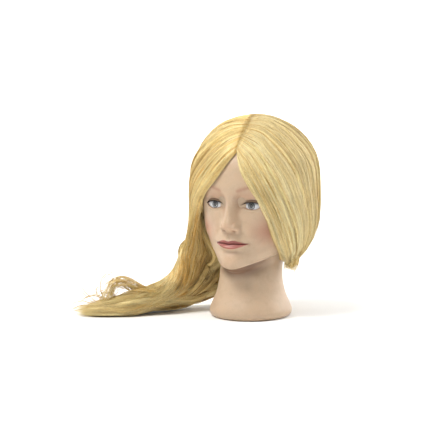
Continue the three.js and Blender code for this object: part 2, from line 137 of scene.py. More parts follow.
def head_normal(t, phi, h=2e-3):
    t, phi = np.broadcast_arrays(np.asarray(t, float), np.asarray(phi, float))
    tt = np.clip(t, h, TOP - 2 * h)
    a = head(tt + h, phi) - head(tt - h, phi)
    b = head(tt, phi + h) - head(tt, phi - h)
    n = np.cross(b, a)
    return n / np.maximum(np.linalg.norm(n, axis=-1, keepdims=True), 1e-12)


def sstep(a, b, v):
    f = np.clip((np.asarray(v, float) - a) / (b - a), 0, 1)
    return f * f * (3 - 2 * f)


def gauss(x, z, x0, z0, sx, sz):
    return np.exp(-((x - x0) / sx) ** 2 - ((z - z0) / sz) ** 2)


def curve1(pts, v):
    """Smooth interpolation through (v, value) pairs."""
    p = np.array(pts, float)
    x, y = p[:, 0], p[:, 1]
    h = np.diff(x)
    s = np.diff(y) / h
    m = np.zeros(len(x))
    m[1:-1] = np.where(s[:-1] * s[1:] > 0, 2 * s[:-1] * s[1:] / (s[:-1] + s[1:] + 1e-12), 0)
    m[0], m[-1] = s[0], s[-1]
    v = np.clip(v, x[0], x[-1])
    i = np.clip(np.searchsorted(x, v, side="right") - 1, 0, len(x) - 2)
    f = (v - x[i]) / h[i]
    return (y[i] * (1 + 2 * f) * (1 - f) ** 2 + h[i] * m[i] * f * (1 - f) ** 2
            + y[i + 1] * f * f * (3 - 2 * f) + h[i] * m[i + 1] * f * f * (f - 1))


def smax(a, b, k):
    h = np.clip(0.5 + 0.5 * (a - b) / k, 0, 1)
    return b + (a - b) * h + k * h * (1 - h)


# eyes: globe of the painted cap, and the almond of the lids
EYE = dict(x=18.3, ix=27.9, F=-16.9, z=159.7, R=70.0, mid=27.0, hw=15.9, hh=10.2)
IN_X, IN_Z, OUT_X, OUT_Z = 12.8, 158.3, 41.2, 160.4


def lid_lines(ax):
    """Heights of the upper and lower lid edges at |x|."""
    u = np.clip((ax - IN_X) / (OUT_X - IN_X), 0, 1)
    zc = IN_Z + (OUT_Z - IN_Z) * u
    up = curve1([(0, 0), (0.08, 2.0), (0.2, 3.7), (0.38, 4.7), (0.55, 4.9), (0.72, 4.2), (0.87, 2.7), (0.96, 1.1), (1, 0)], u)
    lo = curve1([(0, 0), (0.07, 0.7), (0.2, 2.0), (0.38, 3.7), (0.55, 4.7), (0.72, 4.7), (0.87, 3.3), (0.96, 1.4), (1, 0)], u)
    return zc + up, zc - lo


def globe(ax, z, R):
    d = (ax - EYE["x"]) ** 2 + (z - EYE["z"]) ** 2
    return EYE["F"] + np.sqrt(np.maximum(R * R - d, 1.0))


def mouth_z(ax):
    return 107.5 - 0.30 * np.exp(-(ax / 4.0) ** 2) + 0.30 * np.exp(-((ax - 8) / 5.0) ** 2) + 0.6 * (ax / 24) ** 3


def lip_lines(ax):
    up = curve1([(0, 111.7), (2.5, 112.0), (5.5, 112.7), (8.5, 112.5), (14, 111.2), (20, 109.2), (24.5, 108.1)], ax)
    lo = curve1([(0, 100.6), (5, 100.8), (10, 101.7), (15, 103.4), (20, 105.5), (24.5, 107.5)], ax)
    return up, lo


def face_depth(x, y, z):
    """How far the face stands forward (F = -y) once brow, nose, eyes, lips and chin are on it."""
    ax = np.abs(x)
    F = -y
    near = sstep(60, 46, ax) * sstep(0, 14, F)
    G = lambda x0, z0, sx, sz: gauss(ax, z, x0, z0, sx, sz)
    D = np.zeros_like(F)
    # brow and forehead
    D += 1.5 * G(20, 181, 17, 7) + 0.8 * G(0, 183, 9, 9)
    D -= 0.8 * G(0, 196, 14, 8)
    # eye sockets
    D -= 5.2 * G(26, 164, 17, 10.5) + 5.0 * G(13.5, 163.0, 6.0, 9.0) + 1.2 * G(24, 171, 15, 5.5)
    # cheekbone, hollow beside the nose, smile fold
    D += 2.2 * G(42, 143, 15, 12)
    D -= 1.5 * G(18, 133, 7, 12)
    fold = ax - curve1([(96, 31), (108, 28.5), (118, 23), (128, 17.5), (136, 15)], z)
    D -= 0.45 * np.exp(-(fold / 3.8) ** 2) * sstep(98, 106, z) * sstep(134, 124, z)
    D += 0.6 * np.exp(-((fold - 7) / 7.0) ** 2) * sstep(98, 110, z) * sstep(140, 124, z)
    # muzzle and chin
    D += 2.0 * G(0, 113, 15, 12) - 2.6 * G(0, 97.2, 15, 4.2) + 1.6 * G(0, 82, 14, 7.5)
    D -= 0.8 * G(20, 96, 9, 9)
    # the moulded crease along the jaw is put on later, on the skin mesh
    # nose ridge
    hz = curve1([(112, 0), (121.0, 0), (123.4, 0.9), (125.6, 3.1), (128.2, 6.5), (131.4, 9.5), (135.4, 10.8), (140, 9.9), (146, 8.4), (152, 7.3), (158, 6.1), (164, 4.5), (172, 2.3), (182, 0.4)], z)
    wz = curve1([(112, 8), (122, 8), (128, 10.8), (133, 11.2), (139, 9.0), (147, 6.6), (155, 6.4), (163, 7.4), (175, 11), (182, 13)], z)
    D += hz * np.exp(-np.abs(ax / wz) ** 2.3)
    # side walls of the nose, wings, groove round the wing, nostrils
    D += 2.6 * np.exp(-((ax - 6) / 7.5) ** 2) * sstep(120, 130, z) * sstep(166, 140, z)
    D += 5.0 * np.exp(-((ax - 11.0) / 3.6) ** 2 - ((z - 130.4) / 4.6) ** 2)
    D -= 0.7 * np.exp(-((ax - 7.8) / 1.6) ** 2 - ((z - 134.5) / 3.0) ** 2)
    D -= 1.5 * np.exp(-((ax - 15.3) / 1.9) ** 2 - ((z - 129.6) / 5.0) ** 2)
    D -= 2.3 * np.exp(-((ax - 7.2) / 2.7) ** 2 - ((z - 125.4) / 1.6) ** 2)
    # philtrum
    D += 0.7 * np.exp(-((ax - 3.6) / 1.6) ** 2) * sstep(112.5, 114, z) * sstep(123.5, 120, z)
    D -= 0.5 * np.exp(-(ax / 1.9) ** 2) * sstep(112, 114, z) * sstep(123.5, 120, z)
    F = F + D * near
    # lips
    zu, zl = lip_lines(ax)
    zm = mouth_z(ax)
    taper = np.sqrt(np.clip(1 - (ax / 25.2) ** 2, 0, 1))
    tu = np.clip((z - zm) / np.maximum(zu - zm, 0.3), -0.2, 3)
    tl = np.clip((zm - z) / np.maximum(zm - zl, 0.3), -0.2, 3)
    upper = np.where(z >= zm, 2.6 * np.exp(-((tu - 0.62) / 0.55) ** 2), 0)
    lower = np.where(z < zm, 3.5 * np.exp(-((tl - 0.50) / 0.46) ** 2), 0)
    rim = 0.35 * np.exp(-((z - zu) / 0.5) ** 2)
    groove = -2.2 * np.exp(-((z - zm) / 0.62) ** 2)
    F = F + (upper + lower + rim) * taper * near + groove * sstep(26.5, 22, ax) * near
    F = F - 1.3 * gauss(ax, z, 25.6, 107.4, 2.2, 2.4) * near
    # lids over the globe
    zu, zl = lid_lines(ax)
    inside = (ax > IN_X - 6) & (ax < OUT_X + 7) & (z > 145) & (z < 178)
    lid = globe(ax, z, EYE["R"] + 1.7)
    wide = ((ax - 27.0) / 19.0) ** 2 + ((z - 160) / 13.5) ** 2
    lid = lid - 14 * sstep(0.55, 1.5, wide) ** 1.0
    F = np.where(inside, smax(F, lid, 1.8), F)
    # crease above the upper lid, faint one below
    cu = zu + curve1([(0, 1.5), (0.3, 2.9), (0.7, 3.1), (1, 1.6)], np.clip((ax - IN_X) / (OUT_X - IN_X), 0, 1))
    span = sstep(IN_X - 3, IN_X + 3, ax) * sstep(OUT_X + 3.5, OUT_X - 2, ax)
    F = F - 1.15 * np.exp(-((z - cu) / 0.75) ** 2) * span + 0.5 * np.exp(-((z - cu - 2.2) / 1.6) ** 2) * span
    F = F - 0.4 * np.exp(-((z - zl + 3.0) / 1.1) ** 2) * span
    # opening: behind the lids the skin drops below the globe
    ux = np.clip((ax - IN_X) / (OUT_X - IN_X), 0, 1)
    gap = np.minimum(zu - z, z - zl)
    gap = np.minimum(gap, np.minimum(ax - IN_X, OUT_X - ax) * 0.8)
    open_ = sstep(-0.15, 0.75, gap)
    F = F + (globe(ax, z, EYE["R"] - 1.6) - F) * open_
    return F, open_


# ---------------------------------------------------------------- mesh and material helpers
def new_mesh(name, verts, faces, smooth=True, colour=None, uv=None, extra=None):
    """verts in mm (neck-axis frame); faces an (n, 3 or 4) array; colour per vertex (linear rgb)."""
    me = bpy.data.meshes.new(name)
    v = world(verts).astype(np.float32)
    faces = [np.asarray(f, np.int32) for f in (faces if isinstance(faces, list) else [faces])]
    flat = np.concatenate([f.ravel() for f in faces])
    total = np.concatenate([np.full(len(f), f.shape[1], np.int32) for f in faces])
    start = np.concatenate([[0], np.cumsum(total)[:-1]]).astype(np.int32)
    me.vertices.add(len(v))
    me.vertices.foreach_set("co", v.ravel())
    me.loops.add(len(flat))
    me.loops.foreach_set("vertex_index", flat)
    me.polygons.add(len(total))
    me.polygons.foreach_set("loop_start", start)
    me.polygons.foreach_set("loop_total", total)
    me.update(calc_edges=True)
    me.polygons.foreach_set("use_smooth", np.full(len(total), smooth))
    if uv is not None:
        layer = me.uv_layers.new(name="OFBake")
        layer.data.foreach_set("uv", np.asarray(uv, np.float32)[flat].ravel())
    for label, value in {**({"Col": colour} if colour is not None else {}), **(extra or {})}.items():
        value = np.asarray(value, np.float32)
        if value.ndim == 2:
            a = me.color_attributes.new(label, "FLOAT_COLOR", "POINT")
            a.data.foreach_set("color", np.concatenate([value, np.ones((len(value), 1), np.float32)], 1).ravel())
        else:
            a = me.attributes.new(label, "FLOAT", "POINT")
            a.data.foreach_set("value", value)
    me.validate(verbose=False)
    o = bpy.data.objects.new(name, me)
    bpy.context.scene.collection.objects.link(o)
    return o


def lin(r, g, b):
    """sRGB 0-255 -> linear"""
    c = np.array([r, g, b], float) / 255
    return np.where(c <= 0.04045, c / 12.92, ((c + 0.055) / 1.055) ** 2.4)


class Mat:
    """A Principled material with node helpers."""

    def __init__(self, name):
        self.m = bpy.data.materials.new(name)
        self.m.use_nodes = True
        self.t = self.m.node_tree
        self.p = self.t.nodes["Principled BSDF"]

    def set(self, **values):
        for k, v in values.items():
            self.p.inputs[k.replace("_", " ")].default_value = v
        return self

    def node(self, kind, props=None, **inputs):
        n = self.t.nodes.new(kind)
        for k, v in (props or {}).items():
            setattr(n, k, v)
        for k, v in inputs.items():
            key = int(k[1:]) if k[0] == "i" and k[1:].isdigit() else k.replace("_", " ")
            if isinstance(v, bpy.types.NodeSocket):
                self.t.links.new(v, n.inputs[key])
            else:
                n.inputs[key].default_value = v
        return n

    def link(self, out, name):
        self.t.links.new(out, self.p.inputs[name])

    def attr(self, name, fac=False):
        n = self.t.nodes.new("ShaderNodeAttribute")
        n.attribute_name = name
        return n.outputs["Fac" if fac else "Color"]

    def obj(self):
        return self.t.nodes.new("ShaderNodeTexCoord").outputs["Object"]

    def noise(self, scale, detail=3, rough=0.5, vector=None, distortion=0.0):
        n = self.node("ShaderNodeTexNoise", None, Scale=scale, Detail=detail, Roughness=rough, Distortion=distortion)
        self.t.links.new(vector or self.obj(), n.inputs["Vector"])
        return n

    def ramp(self, fac, stops):
        n = self.t.nodes.new("ShaderNodeValToRGB")
        e = n.color_ramp.elements
        while len(e) < len(stops):
            e.new(0.5)
        for i, (pos, col) in enumerate(stops):
            e[i].position = pos
            e[i].color = (*col, 1) if len(col) == 3 else col
        self.t.links.new(fac, n.inputs["Fac"])
        return n.outputs["Color"]

    def mixc(self, fac, a, b, blend="MIX"):
        n = self.t.nodes.new("ShaderNodeMix")
        n.data_type = "RGBA"
        n.blend_type = blend
        for sock, v in ((n.inputs[0], fac), (n.inputs[6], a), (n.inputs[7], b)):
            if isinstance(v, bpy.types.NodeSocket):
                self.t.links.new(v, sock)
            else:
                sock.default_value = v if isinstance(v, (int, float)) else (*v, 1)
        return n.outputs[2]

    def math(self, op, a, b=0.0, c=0.0):
        n = self.t.nodes.new("ShaderNodeMath")
        n.operation = op
        for i, v in enumerate((a, b, c)):
            if isinstance(v, bpy.types.NodeSocket):
                self.t.links.new(v, n.inputs[i])
            else:
                n.inputs[i].default_value = v
        return n.outputs[0]

    def bump(self, height, strength, distance):
        n = self.t.nodes.new("ShaderNodeBump")
        n.inputs["Strength"].default_value = strength
        n.inputs["Distance"].default_value = distance
        self.t.links.new(height, n.inputs["Height"])
        self.t.links.new(n.outputs["Normal"], self.p.inputs["Normal"])
        return n


def put(o, mat):
    o.data.materials.clear()
    o.data.materials.append(mat.m if isinstance(mat, Mat) else mat)
    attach(o, "root")
    return o


def remat(node, mat):
    o = frame["nodes"][node]
    o.data.materials.clear()
    o.data.materials.append(mat.m)


# ---------------------------------------------------------------- skin mesh
def sample_axis(spans):
    """Concatenated evenly spaced samples from (start, end, count) spans."""
    out = []
    for a, z_, n in spans:
        out.append(np.linspace(a, z_, n, endpoint=False))
    return np.concatenate(out)


t_s = np.concatenate([sample_axis([(0, 2.4, 14), (2.4, 6.6, 22), (6.6, 8.3, 22), (8.3, 18.2, 182), (18.2, 23.4, 30), (23.4, 24, 5)]), [TOP]])
half_phi = np.concatenate([np.linspace(0, 50, 96, endpoint=False), np.linspace(50, 90, 26, endpoint=False), np.linspace(90, 180, 22)])
phi_s = np.radians(np.concatenate([-half_phi[::-1][:-1], half_phi])[:-1])     # -180 .. just under 180
NT, NP = len(t_s), len(phi_s)
TT, PP = np.meshgrid(t_s, phi_s, indexing="ij")
skin_xyz = head(TT, PP)
x, y, z = skin_xyz[..., 0], skin_xyz[..., 1], skin_xyz[..., 2]
F, eye_open = face_depth(x, y, z)
is_face = y < 0
deg_ = np.degrees(np.abs(PP))
jaw_row = 8.74 + curve1([(0, 0.0), (12, 0.06), (35, 0.26), (50, 0.34), (68, 0.62), (100, 1.0)], deg_)
jaw = 0.60 * np.exp(-((TT - jaw_row) / 0.10) ** 2) * sstep(105, 75, deg_) - 0.9 * np.exp(-((TT - jaw_row + 0.50) / 0.30) ** 2) * sstep(110, 70, deg_)
skin_xyz = skin_xyz + head_normal(TT, PP) * jaw[..., None]
F = np.where(is_face, F + jaw, F)
skin_xyz[..., 1] = np.where(is_face, -F, y)
eye_open = np.where(is_face, eye_open, 0)

# paint
xs, zs_, ax = skin_xyz[..., 0], skin_xyz[..., 2], np.abs(skin_xyz[..., 0])
front_w = sstep(-5, 25, -skin_xyz[..., 1])
SKIN_C = lin(195, 170, 143)
col = np.tile(SKIN_C, (NT, NP, 1))


def tint(mask, c, amount=1.0):
    global col
    m = np.clip(mask * amount, 0, 1)[..., None]
    col = col * (1 - m) + np.asarray(c) * m


# warm blush on cheeks, light shade round the eyes, slight warmth on nose tip and chin
tint(gauss(ax, zs_, 48, 124, 17, 16) * front_w, lin(176, 118, 96), 0.66)
tint(gauss(ax, zs_, 25, 172, 17, 8) * front_w, lin(182, 136, 112), 0.48)
# painted shade in the recess at the inner eye corners
tint(gauss(ax, zs_, 12.0, 164, 4.2, 9) * front_w, lin(136, 96, 72), 0.55)
# painted shade on the side walls of the nose bridge
tint(gauss(ax, zs_, 9.6, 149, 3.4, 12) * front_w, lin(160, 120, 92), 0.34)
# painted shadow under the jaw and chin, on the top of the neck
tint(sstep(0.0, -0.42, TT - jaw_row) * sstep(5.4, 7.3, TT) * sstep(80, 28, deg_), lin(98, 66, 46), 0.84)
# painted highlight along the moulded crease of the jaw
tint(np.exp(-((TT - jaw_row) / 0.09) ** 2) * sstep(95, 60, deg_) * sstep(8, 30, deg_), lin(226, 204, 176), 0.45)
tint(gauss(ax, zs_, 0, 131, 10, 7) * front_w, lin(214, 166, 136), 0.26)
# painted shade under the nose
tint(gauss(ax, zs_, 0, 122.5, 9, 3.2) * front_w, lin(160, 120, 94), 0.2)
tint(gauss(ax, zs_, 0, 84, 16, 9) * front_w, lin(222, 184, 154), 0.3)
# brows: soft reddish brown, from fine strokes
u = np.clip((ax - 11.5) / 33.0, 0, 1)
bz = curve1([(0, 179.6), (0.25, 182.2), (0.5, 184.6), (0.72, 185.3), (0.9, 183.0), (1, 180.8)], u)
bw = curve1([(0, 2.3), (0.15, 2.9), (0.5, 2.4), (0.8, 1.6), (1, 0.7)], u)
stroke = 0.80 + 0.20 * np.sin((xs * 1.0 + (zs_ - bz) * 0.8) * 5.2) * np.sin(xs * 2.1 + 1.3)
brow = np.exp(-((zs_ - bz) / bw) ** 2) * sstep(9.5, 14, ax) * sstep(46, 40, ax) * stroke * front_w
tint(brow, lin(158, 104, 82), 0.62)
# lids: dark line along the lash edge, grey-brown shade in the crease
zu, zl = lid_lines(ax)
span = sstep(IN_X - 1.5, IN_X + 2, ax) * sstep(OUT_X + 1.5, OUT_X - 1.0, ax) * front_w
cu = zu + curve1([(0, 1.5), (0.3, 2.9), (0.7, 3.1), (1, 1.6)], np.clip((ax - IN_X) / (OUT_X - IN_X), 0, 1))
tint(np.exp(-((zs_ - cu) / 0.95) ** 2) * span, lin(84, 60, 50), 0.74)
tint(np.exp(-np.clip((zs_ - zu) / 1.15, -9, 9) ** 2) * span * (zs_ > zu - 1.0), lin(30, 23, 20), 0.97)
# painted shade: the skin behind the lids, round the eye caps, is near black
tint(sstep(0.2, 0.9, eye_open), lin(40, 30, 28), 0.9)
tint(np.exp(-((zs_ - zl + 0.5) / 0.55) ** 2) * span, lin(150, 104, 86), 0.6)
tail = np.exp(-((zs_ - (zu + 0.5 + (ax - OUT_X + 2) * 0.25)) / 0.9) ** 2) * sstep(OUT_X - 3, OUT_X, ax) * sstep(OUT_X + 3.2, OUT_X + 1.0, ax) * front_w
tint(tail, lin(60, 44, 38), 0.6)
# nostrils and mouth line
# painted shade in the shallow nostril dimples
tint(np.exp(-((ax - 7.4) / 2.9) ** 2 - ((zs_ - 125.4) / 1.5) ** 2) * front_w, lin(104, 64, 46), 0.58)
lu, ll = lip_lines(ax)
zm = mouth_z(ax)
edge = 0.45
lips = sstep(-edge, edge, lu - zs_) * sstep(-edge, edge, zs_ - ll) * sstep(25.4, 23.6, ax) * front_w
wet = lips.copy()
upper_lip = lips * sstep(-0.3, 0.3, zs_ - zm)
tint(lips, lin(168, 98, 92), 0.94)
tint(upper_lip, lin(136, 78, 72), 0.82)
# painted highlight on the middle of the lower lip
tint(lips * gauss(xs, zs_, 0, 103.9, 7.5, 1.3), lin(226, 180, 170), 0.55)
# painted shade along the groove between the lips
tint(np.exp(-((zs_ - zm) / 0.55) ** 2) * sstep(25.5, 21.5, ax) * front_w, lin(84, 40, 36), 0.85)
tint(lips * np.exp(-((zs_ - ll) / 0.9) ** 2), lin(168, 92, 84), 0.4)
# gloss mask for the lips; the slight mottling that hand-finished vinyl shows comes from the skin material's noise
seed = np.random.default_rng(7)
gloss = np.clip(lips, 0, 1)

# rows: outside from the crown down to the rim, then the inside back up to the crown
out_rows = skin_xyz[::-1]
ti = np.concatenate([np.linspace(1.5, 23.2, 36), [23.7]])
TI, PI = np.meshgrid(ti, phi_s, indexing="ij")
in_rows = head(TI, PI) - head_normal(TI, PI) * 3.4
sink = 4.5 * (gauss(in_rows[..., 0], in_rows[..., 2], 28, 162, 15, 10) + gauss(in_rows[..., 0], in_rows[..., 2], -28, 162, 15, 10))
in_rows[..., 1] += np.where(in_rows[..., 1] < -20, sink, 0)
mouth = np.stack([47.3 * np.sin(phi_s), -49.9 * np.cos(phi_s), 0 * phi_s], -1)
up = np.array([0, 0, 1.0])
rim = np.stack([mouth * 1.012 + 0 * up, mouth + 0.6 * up, mouth + 5.4 * up])
rows_all = np.concatenate([out_rows[1:], rim, in_rows])
crown, roof = skin_xyz[-1, :1], np.array([[0.0, 18.0, 267.1]])
NR = len(rows_all)
vid = np.arange(NR * NP).reshape(NR, NP)
nxt = np.roll(vid, -1, axis=1)
quads = np.stack([vid[:-1], vid[1:], nxt[1:], nxt[:-1]], -1).reshape(-1, 4)
pole_a, pole_b = NR * NP, NR * NP + 1
fan_a = np.stack([np.full(NP, pole_a), vid[0], nxt[0]], -1)
fan_b = np.stack([np.full(NP, pole_b), nxt[-1], vid[-1]], -1)
verts = np.concatenate([rows_all.reshape(-1, 3), crown, roof])
n_out = NT - 1
vv = np.concatenate([np.linspace(0.995, 0.14, n_out), np.linspace(0.13, 0.005, NR - n_out)])
uu = (np.arange(NP) + 0.5) / NP
skin_uv = np.stack(np.meshgrid(vv, uu, indexing="ij")[::-1], -1).reshape(-1, 2)
skin_uv = np.concatenate([skin_uv, [[0.5, 0.999], [0.5, 0.001]]])
c_out = col[::-1][1:]
c_in = np.tile(SKIN_C * 0.9, (NR - n_out, NP, 1))
c_all = np.concatenate([np.concatenate([c_out, c_in]).reshape(-1, 3), [SKIN_C], [SKIN_C]])
g_all = np.concatenate([np.concatenate([gloss[::-1][1:], np.zeros((NR - n_out, NP))]).ravel(), [0, 0]])
skin = new_mesh("head_skin_shell", verts, [quads, fan_a, fan_b], colour=c_all, uv=skin_uv, extra={"Wet": g_all})

m = Mat("skin_vinyl")
m.set(Roughness=0.46, IOR=1.47, Specular_IOR_Level=0.42, Subsurface_Weight=0.14, Subsurface_Scale=0.004, Coat_Weight=0.06, Coat_Roughness=0.32)
m.p.inputs["Subsurface Radius"].default_value = (1.0, 0.55, 0.35)
base = m.attr("Col")
mott = m.noise(90, 4, 0.6)
fine = m.noise(900, 3, 0.55)
shade = m.ramp(mott.outputs["Fac"], [(0.30, (0.93, 0.915, 0.90)), (0.52, (1, 1, 1)), (0.75, (1.03, 0.99, 0.965))])
c1 = m.mixc(1.0, base, shade, "MULTIPLY")
speck = m.ramp(fine.outputs["Fac"], [(0.35, (0.965, 0.96, 0.95)), (0.6, (1.01, 1.01, 1.01))])
c2 = m.mixc(1.0, c1, speck, "MULTIPLY")
m.link(c2, "Base Color")
rough = m.math("MULTIPLY_ADD", m.attr("Wet", True), -0.27, 0.47)
rough2 = m.math("MULTIPLY_ADD", mott.outputs["Fac"], 0.10, m.math("SUBTRACT", rough, 0.05))
m.link(rough2, "Roughness")
pore = m.noise(1500, 2, 0.5)
m.bump(m.math("ADD", m.math("MULTIPLY", pore.outputs["Fac"], 0.6), m.math("MULTIPLY", mott.outputs["Fac"], 1.0)), 0.22, 0.0002)
put(skin, m)
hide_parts("head_skin")

# ---------------------------------------------------------------- eyes: gloss caps behind the lids
for name, side in (("right", -1), ("left", 1)):
    n_r, n_a = 48, 80
    rad = np.linspace(0, 1, n_r)[1:]
    ang = np.linspace(0, 2 * math.pi, n_a, endpoint=False)
    RR, AA = np.meshgrid(rad, ang, indexing="ij")
    ex, ez = side * EYE["ix"], EYE["z"]
    PX = EYE["mid"] + EYE["hw"] * RR * np.cos(AA)
    PZ = EYE["z"] + EYE["hh"] * RR * np.sin(AA)
    off_iris = np.hypot(PX - EYE["ix"], PZ - EYE["z"])
    bulge = 1.0 * np.exp(-(off_iris / 6.0) ** 4) + 0.5 * (1 - RR ** 2)             # slight cornea
    front_s = np.stack([side * PX, -(globe(PX, PZ, EYE["R"]) + bulge), PZ], -1)
    back_s = np.stack([side * PX, -(globe(PX, PZ, EYE["R"]) - 1.3), PZ], -1)
    fm = float(globe(EYE["mid"], EYE["z"], EYE["R"]))
    v = np.concatenate([front_s.reshape(-1, 3), [[side * EYE["mid"], -(fm + 1.5), ez]], back_s.reshape(-1, 3), [[side * EYE["mid"], -(fm - 1.3), ez]]])
    k = (n_r - 1) * n_a
    g = np.arange(k).reshape(n_r - 1, n_a)
    gn = np.roll(g, -1, axis=1)
    q1 = np.stack([g[:-1], g[1:], gn[1:], gn[:-1]], -1).reshape(-1, 4)
    t1 = np.stack([np.full(n_a, k), g[0], gn[0]], -1)
    h = g + k + 1
    hn = np.roll(h, -1, axis=1)
    q2 = np.stack([h[:-1], hn[:-1], hn[1:], h[1:]], -1).reshape(-1, 4)
    t2 = np.stack([np.full(n_a, 2 * k + 1), hn[0], h[0]], -1)
    q3 = np.stack([g[-1], h[-1], hn[-1], gn[-1]], -1)
    flip = [f[:, ::-1] for f in (q1, q2, q3, t1, t2)] if side > 0 else [q1, q2, q3, t1, t2]
    uvr = np.concatenate([np.stack([0.5 + 0.47 * RR * np.cos(AA), 0.5 + 0.47 * RR * np.sin(AA)], -1).reshape(-1, 2), [[0.5, 0.5]]])
    uv2 = uvr * 0.02 + 0.002
    eye = new_mesh("eye_cap_" + name, v, flip, uv=np.concatenate([uvr, uv2]))
    e = Mat("eye_paint_" + name)
    e.set(Roughness=0.06, IOR=1.45, Specular_IOR_Level=0.5, Coat_Weight=1.0, Coat_Roughness=0.03)
    c0 = world([[ex + side * 0.0, 0, ez - 0.2]])[0]
    sep = e.node("ShaderNodeSeparateXYZ")
    e.t.links.new(e.obj(), sep.inputs[0])
    dx = e.math("MULTIPLY", e.math("SUBTRACT", sep.outputs["X"], float(c0[0])), 1000.0)
    dz = e.math("MULTIPLY", e.math("SUBTRACT", sep.outputs["Z"], float(c0[2])), 1000.0)
    rr = e.math("SQRT", e.math("ADD", e.math("MULTIPLY", dx, dx), e.math("MULTIPLY", dz, dz)))
    an = e.math("ARCTAN2", dz, dx)
    comb = e.node("ShaderNodeCombineXYZ")
    e.t.links.new(e.math("MULTIPLY", an, 7.0), comb.inputs[0])
    e.t.links.new(e.math("MULTIPLY", rr, 0.35), comb.inputs[1])
    streak = e.noise(1.6, 4, 0.7, vector=comb.outputs[0])
    wob = e.math("MULTIPLY_ADD", streak.outputs["Fac"], 0.9, e.math("SUBTRACT", rr, 0.45))
    iris = e.ramp(e.math("DIVIDE", wob, 12.0), [
        (0.0, (0.004, 0.004, 0.005)), (0.195, (0.004, 0.004, 0.005)), (0.225, tuple(lin(60, 61, 62))),
        (0.255, tuple(lin(140, 142, 140))), (0.325, tuple(lin(108, 110, 112))), (0.370, tuple(lin(42, 42, 46))),
        (0.405, tuple(lin(150, 150, 154))), (0.445, tuple(lin(218, 218, 222))), (0.82, tuple(lin(214, 211, 212))), (0.98, tuple(lin(200, 168, 158)))])
    # painted catchlight, up and towards the head's left in both eyes
    hx = e.math("SUBTRACT", dx, 2.5)
    hz = e.math("ADD", dz, 1.3)
    hr = e.math("SQRT", e.math("ADD", e.math("MULTIPLY", hx, hx), e.math("MULTIPLY", hz, hz)))
    spot = e.ramp(e.math("DIVIDE", hr, 3.0), [(0.0, (0.9, 0.9, 0.9)), (0.10, (0.9, 0.9, 0.9)), (0.21, (0, 0, 0))])
    shade_top = e.ramp(e.math("MULTIPLY_ADD", dz, 0.1, 0.5), [(0.56, (1, 1, 1)), (0.90, (0.38, 0.36, 0.36))])
    iris2 = e.mixc(1.0, iris, shade_top, "MULTIPLY")
    e.link(e.mixc(spot, iris2, (0.80, 0.82, 0.84)), "Base Color")
    put(eye, e)
    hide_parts("eye_" + name)


# ---------------------------------------------------------------- lashes: a dark strip of tapered hairs on each upper lid
def face_reach(x_, z_):
    """Reach of the finished face at points seen from the front."""
    k = np.array([np.argmin((skin_xyz[..., 0] - a) ** 2 + (skin_xyz[..., 2] - c_) ** 2 + 1e6 * (skin_xyz[..., 1] > -20)) for a, c_ in zip(x_, z_)])
    return -skin_xyz.reshape(-1, 3)[k, 1]


def lash_tubes(P, R):
    n, m_, _ = P.shape
    T = np.gradient(P, axis=1)
    T /= np.maximum(np.linalg.norm(T, axis=-1, keepdims=True), 1e-9)
    A = np.cross(T, np.array([0.3, 0.2, 0.93]))
    A /= np.linalg.norm(A, axis=-1, keepdims=True)
    B = np.cross(T, A)
    an = np.arange(5) * 2 * math.pi / 5
    V_ = P[:, :, None] + R[:, :, None, None] * (np.cos(an)[:, None] * A[:, :, None] + np.sin(an)[:, None] * B[:, :, None])
    idx = np.arange(n * m_ * 5).reshape(n, m_, 5)
    nx = np.roll(idx, -1, axis=2)
    q = np.stack([idx[:, :-1], idx[:, 1:], nx[:, 1:], nx[:, :-1]], -1).reshape(-1, 4)
    caps = np.concatenate([idx[:, 0, :], idx[:, -1, ::-1]])
    uvl = np.stack(np.broadcast_arrays((np.arange(n)[:, None, None] + 0.2 + 0.12 * np.arange(5)[None, None]) / n, (0.05 + 0.9 * np.linspace(0, 1, m_))[None, :, None]), -1).reshape(-1, 2)
    return V_.reshape(-1, 3), [q, caps], uvl


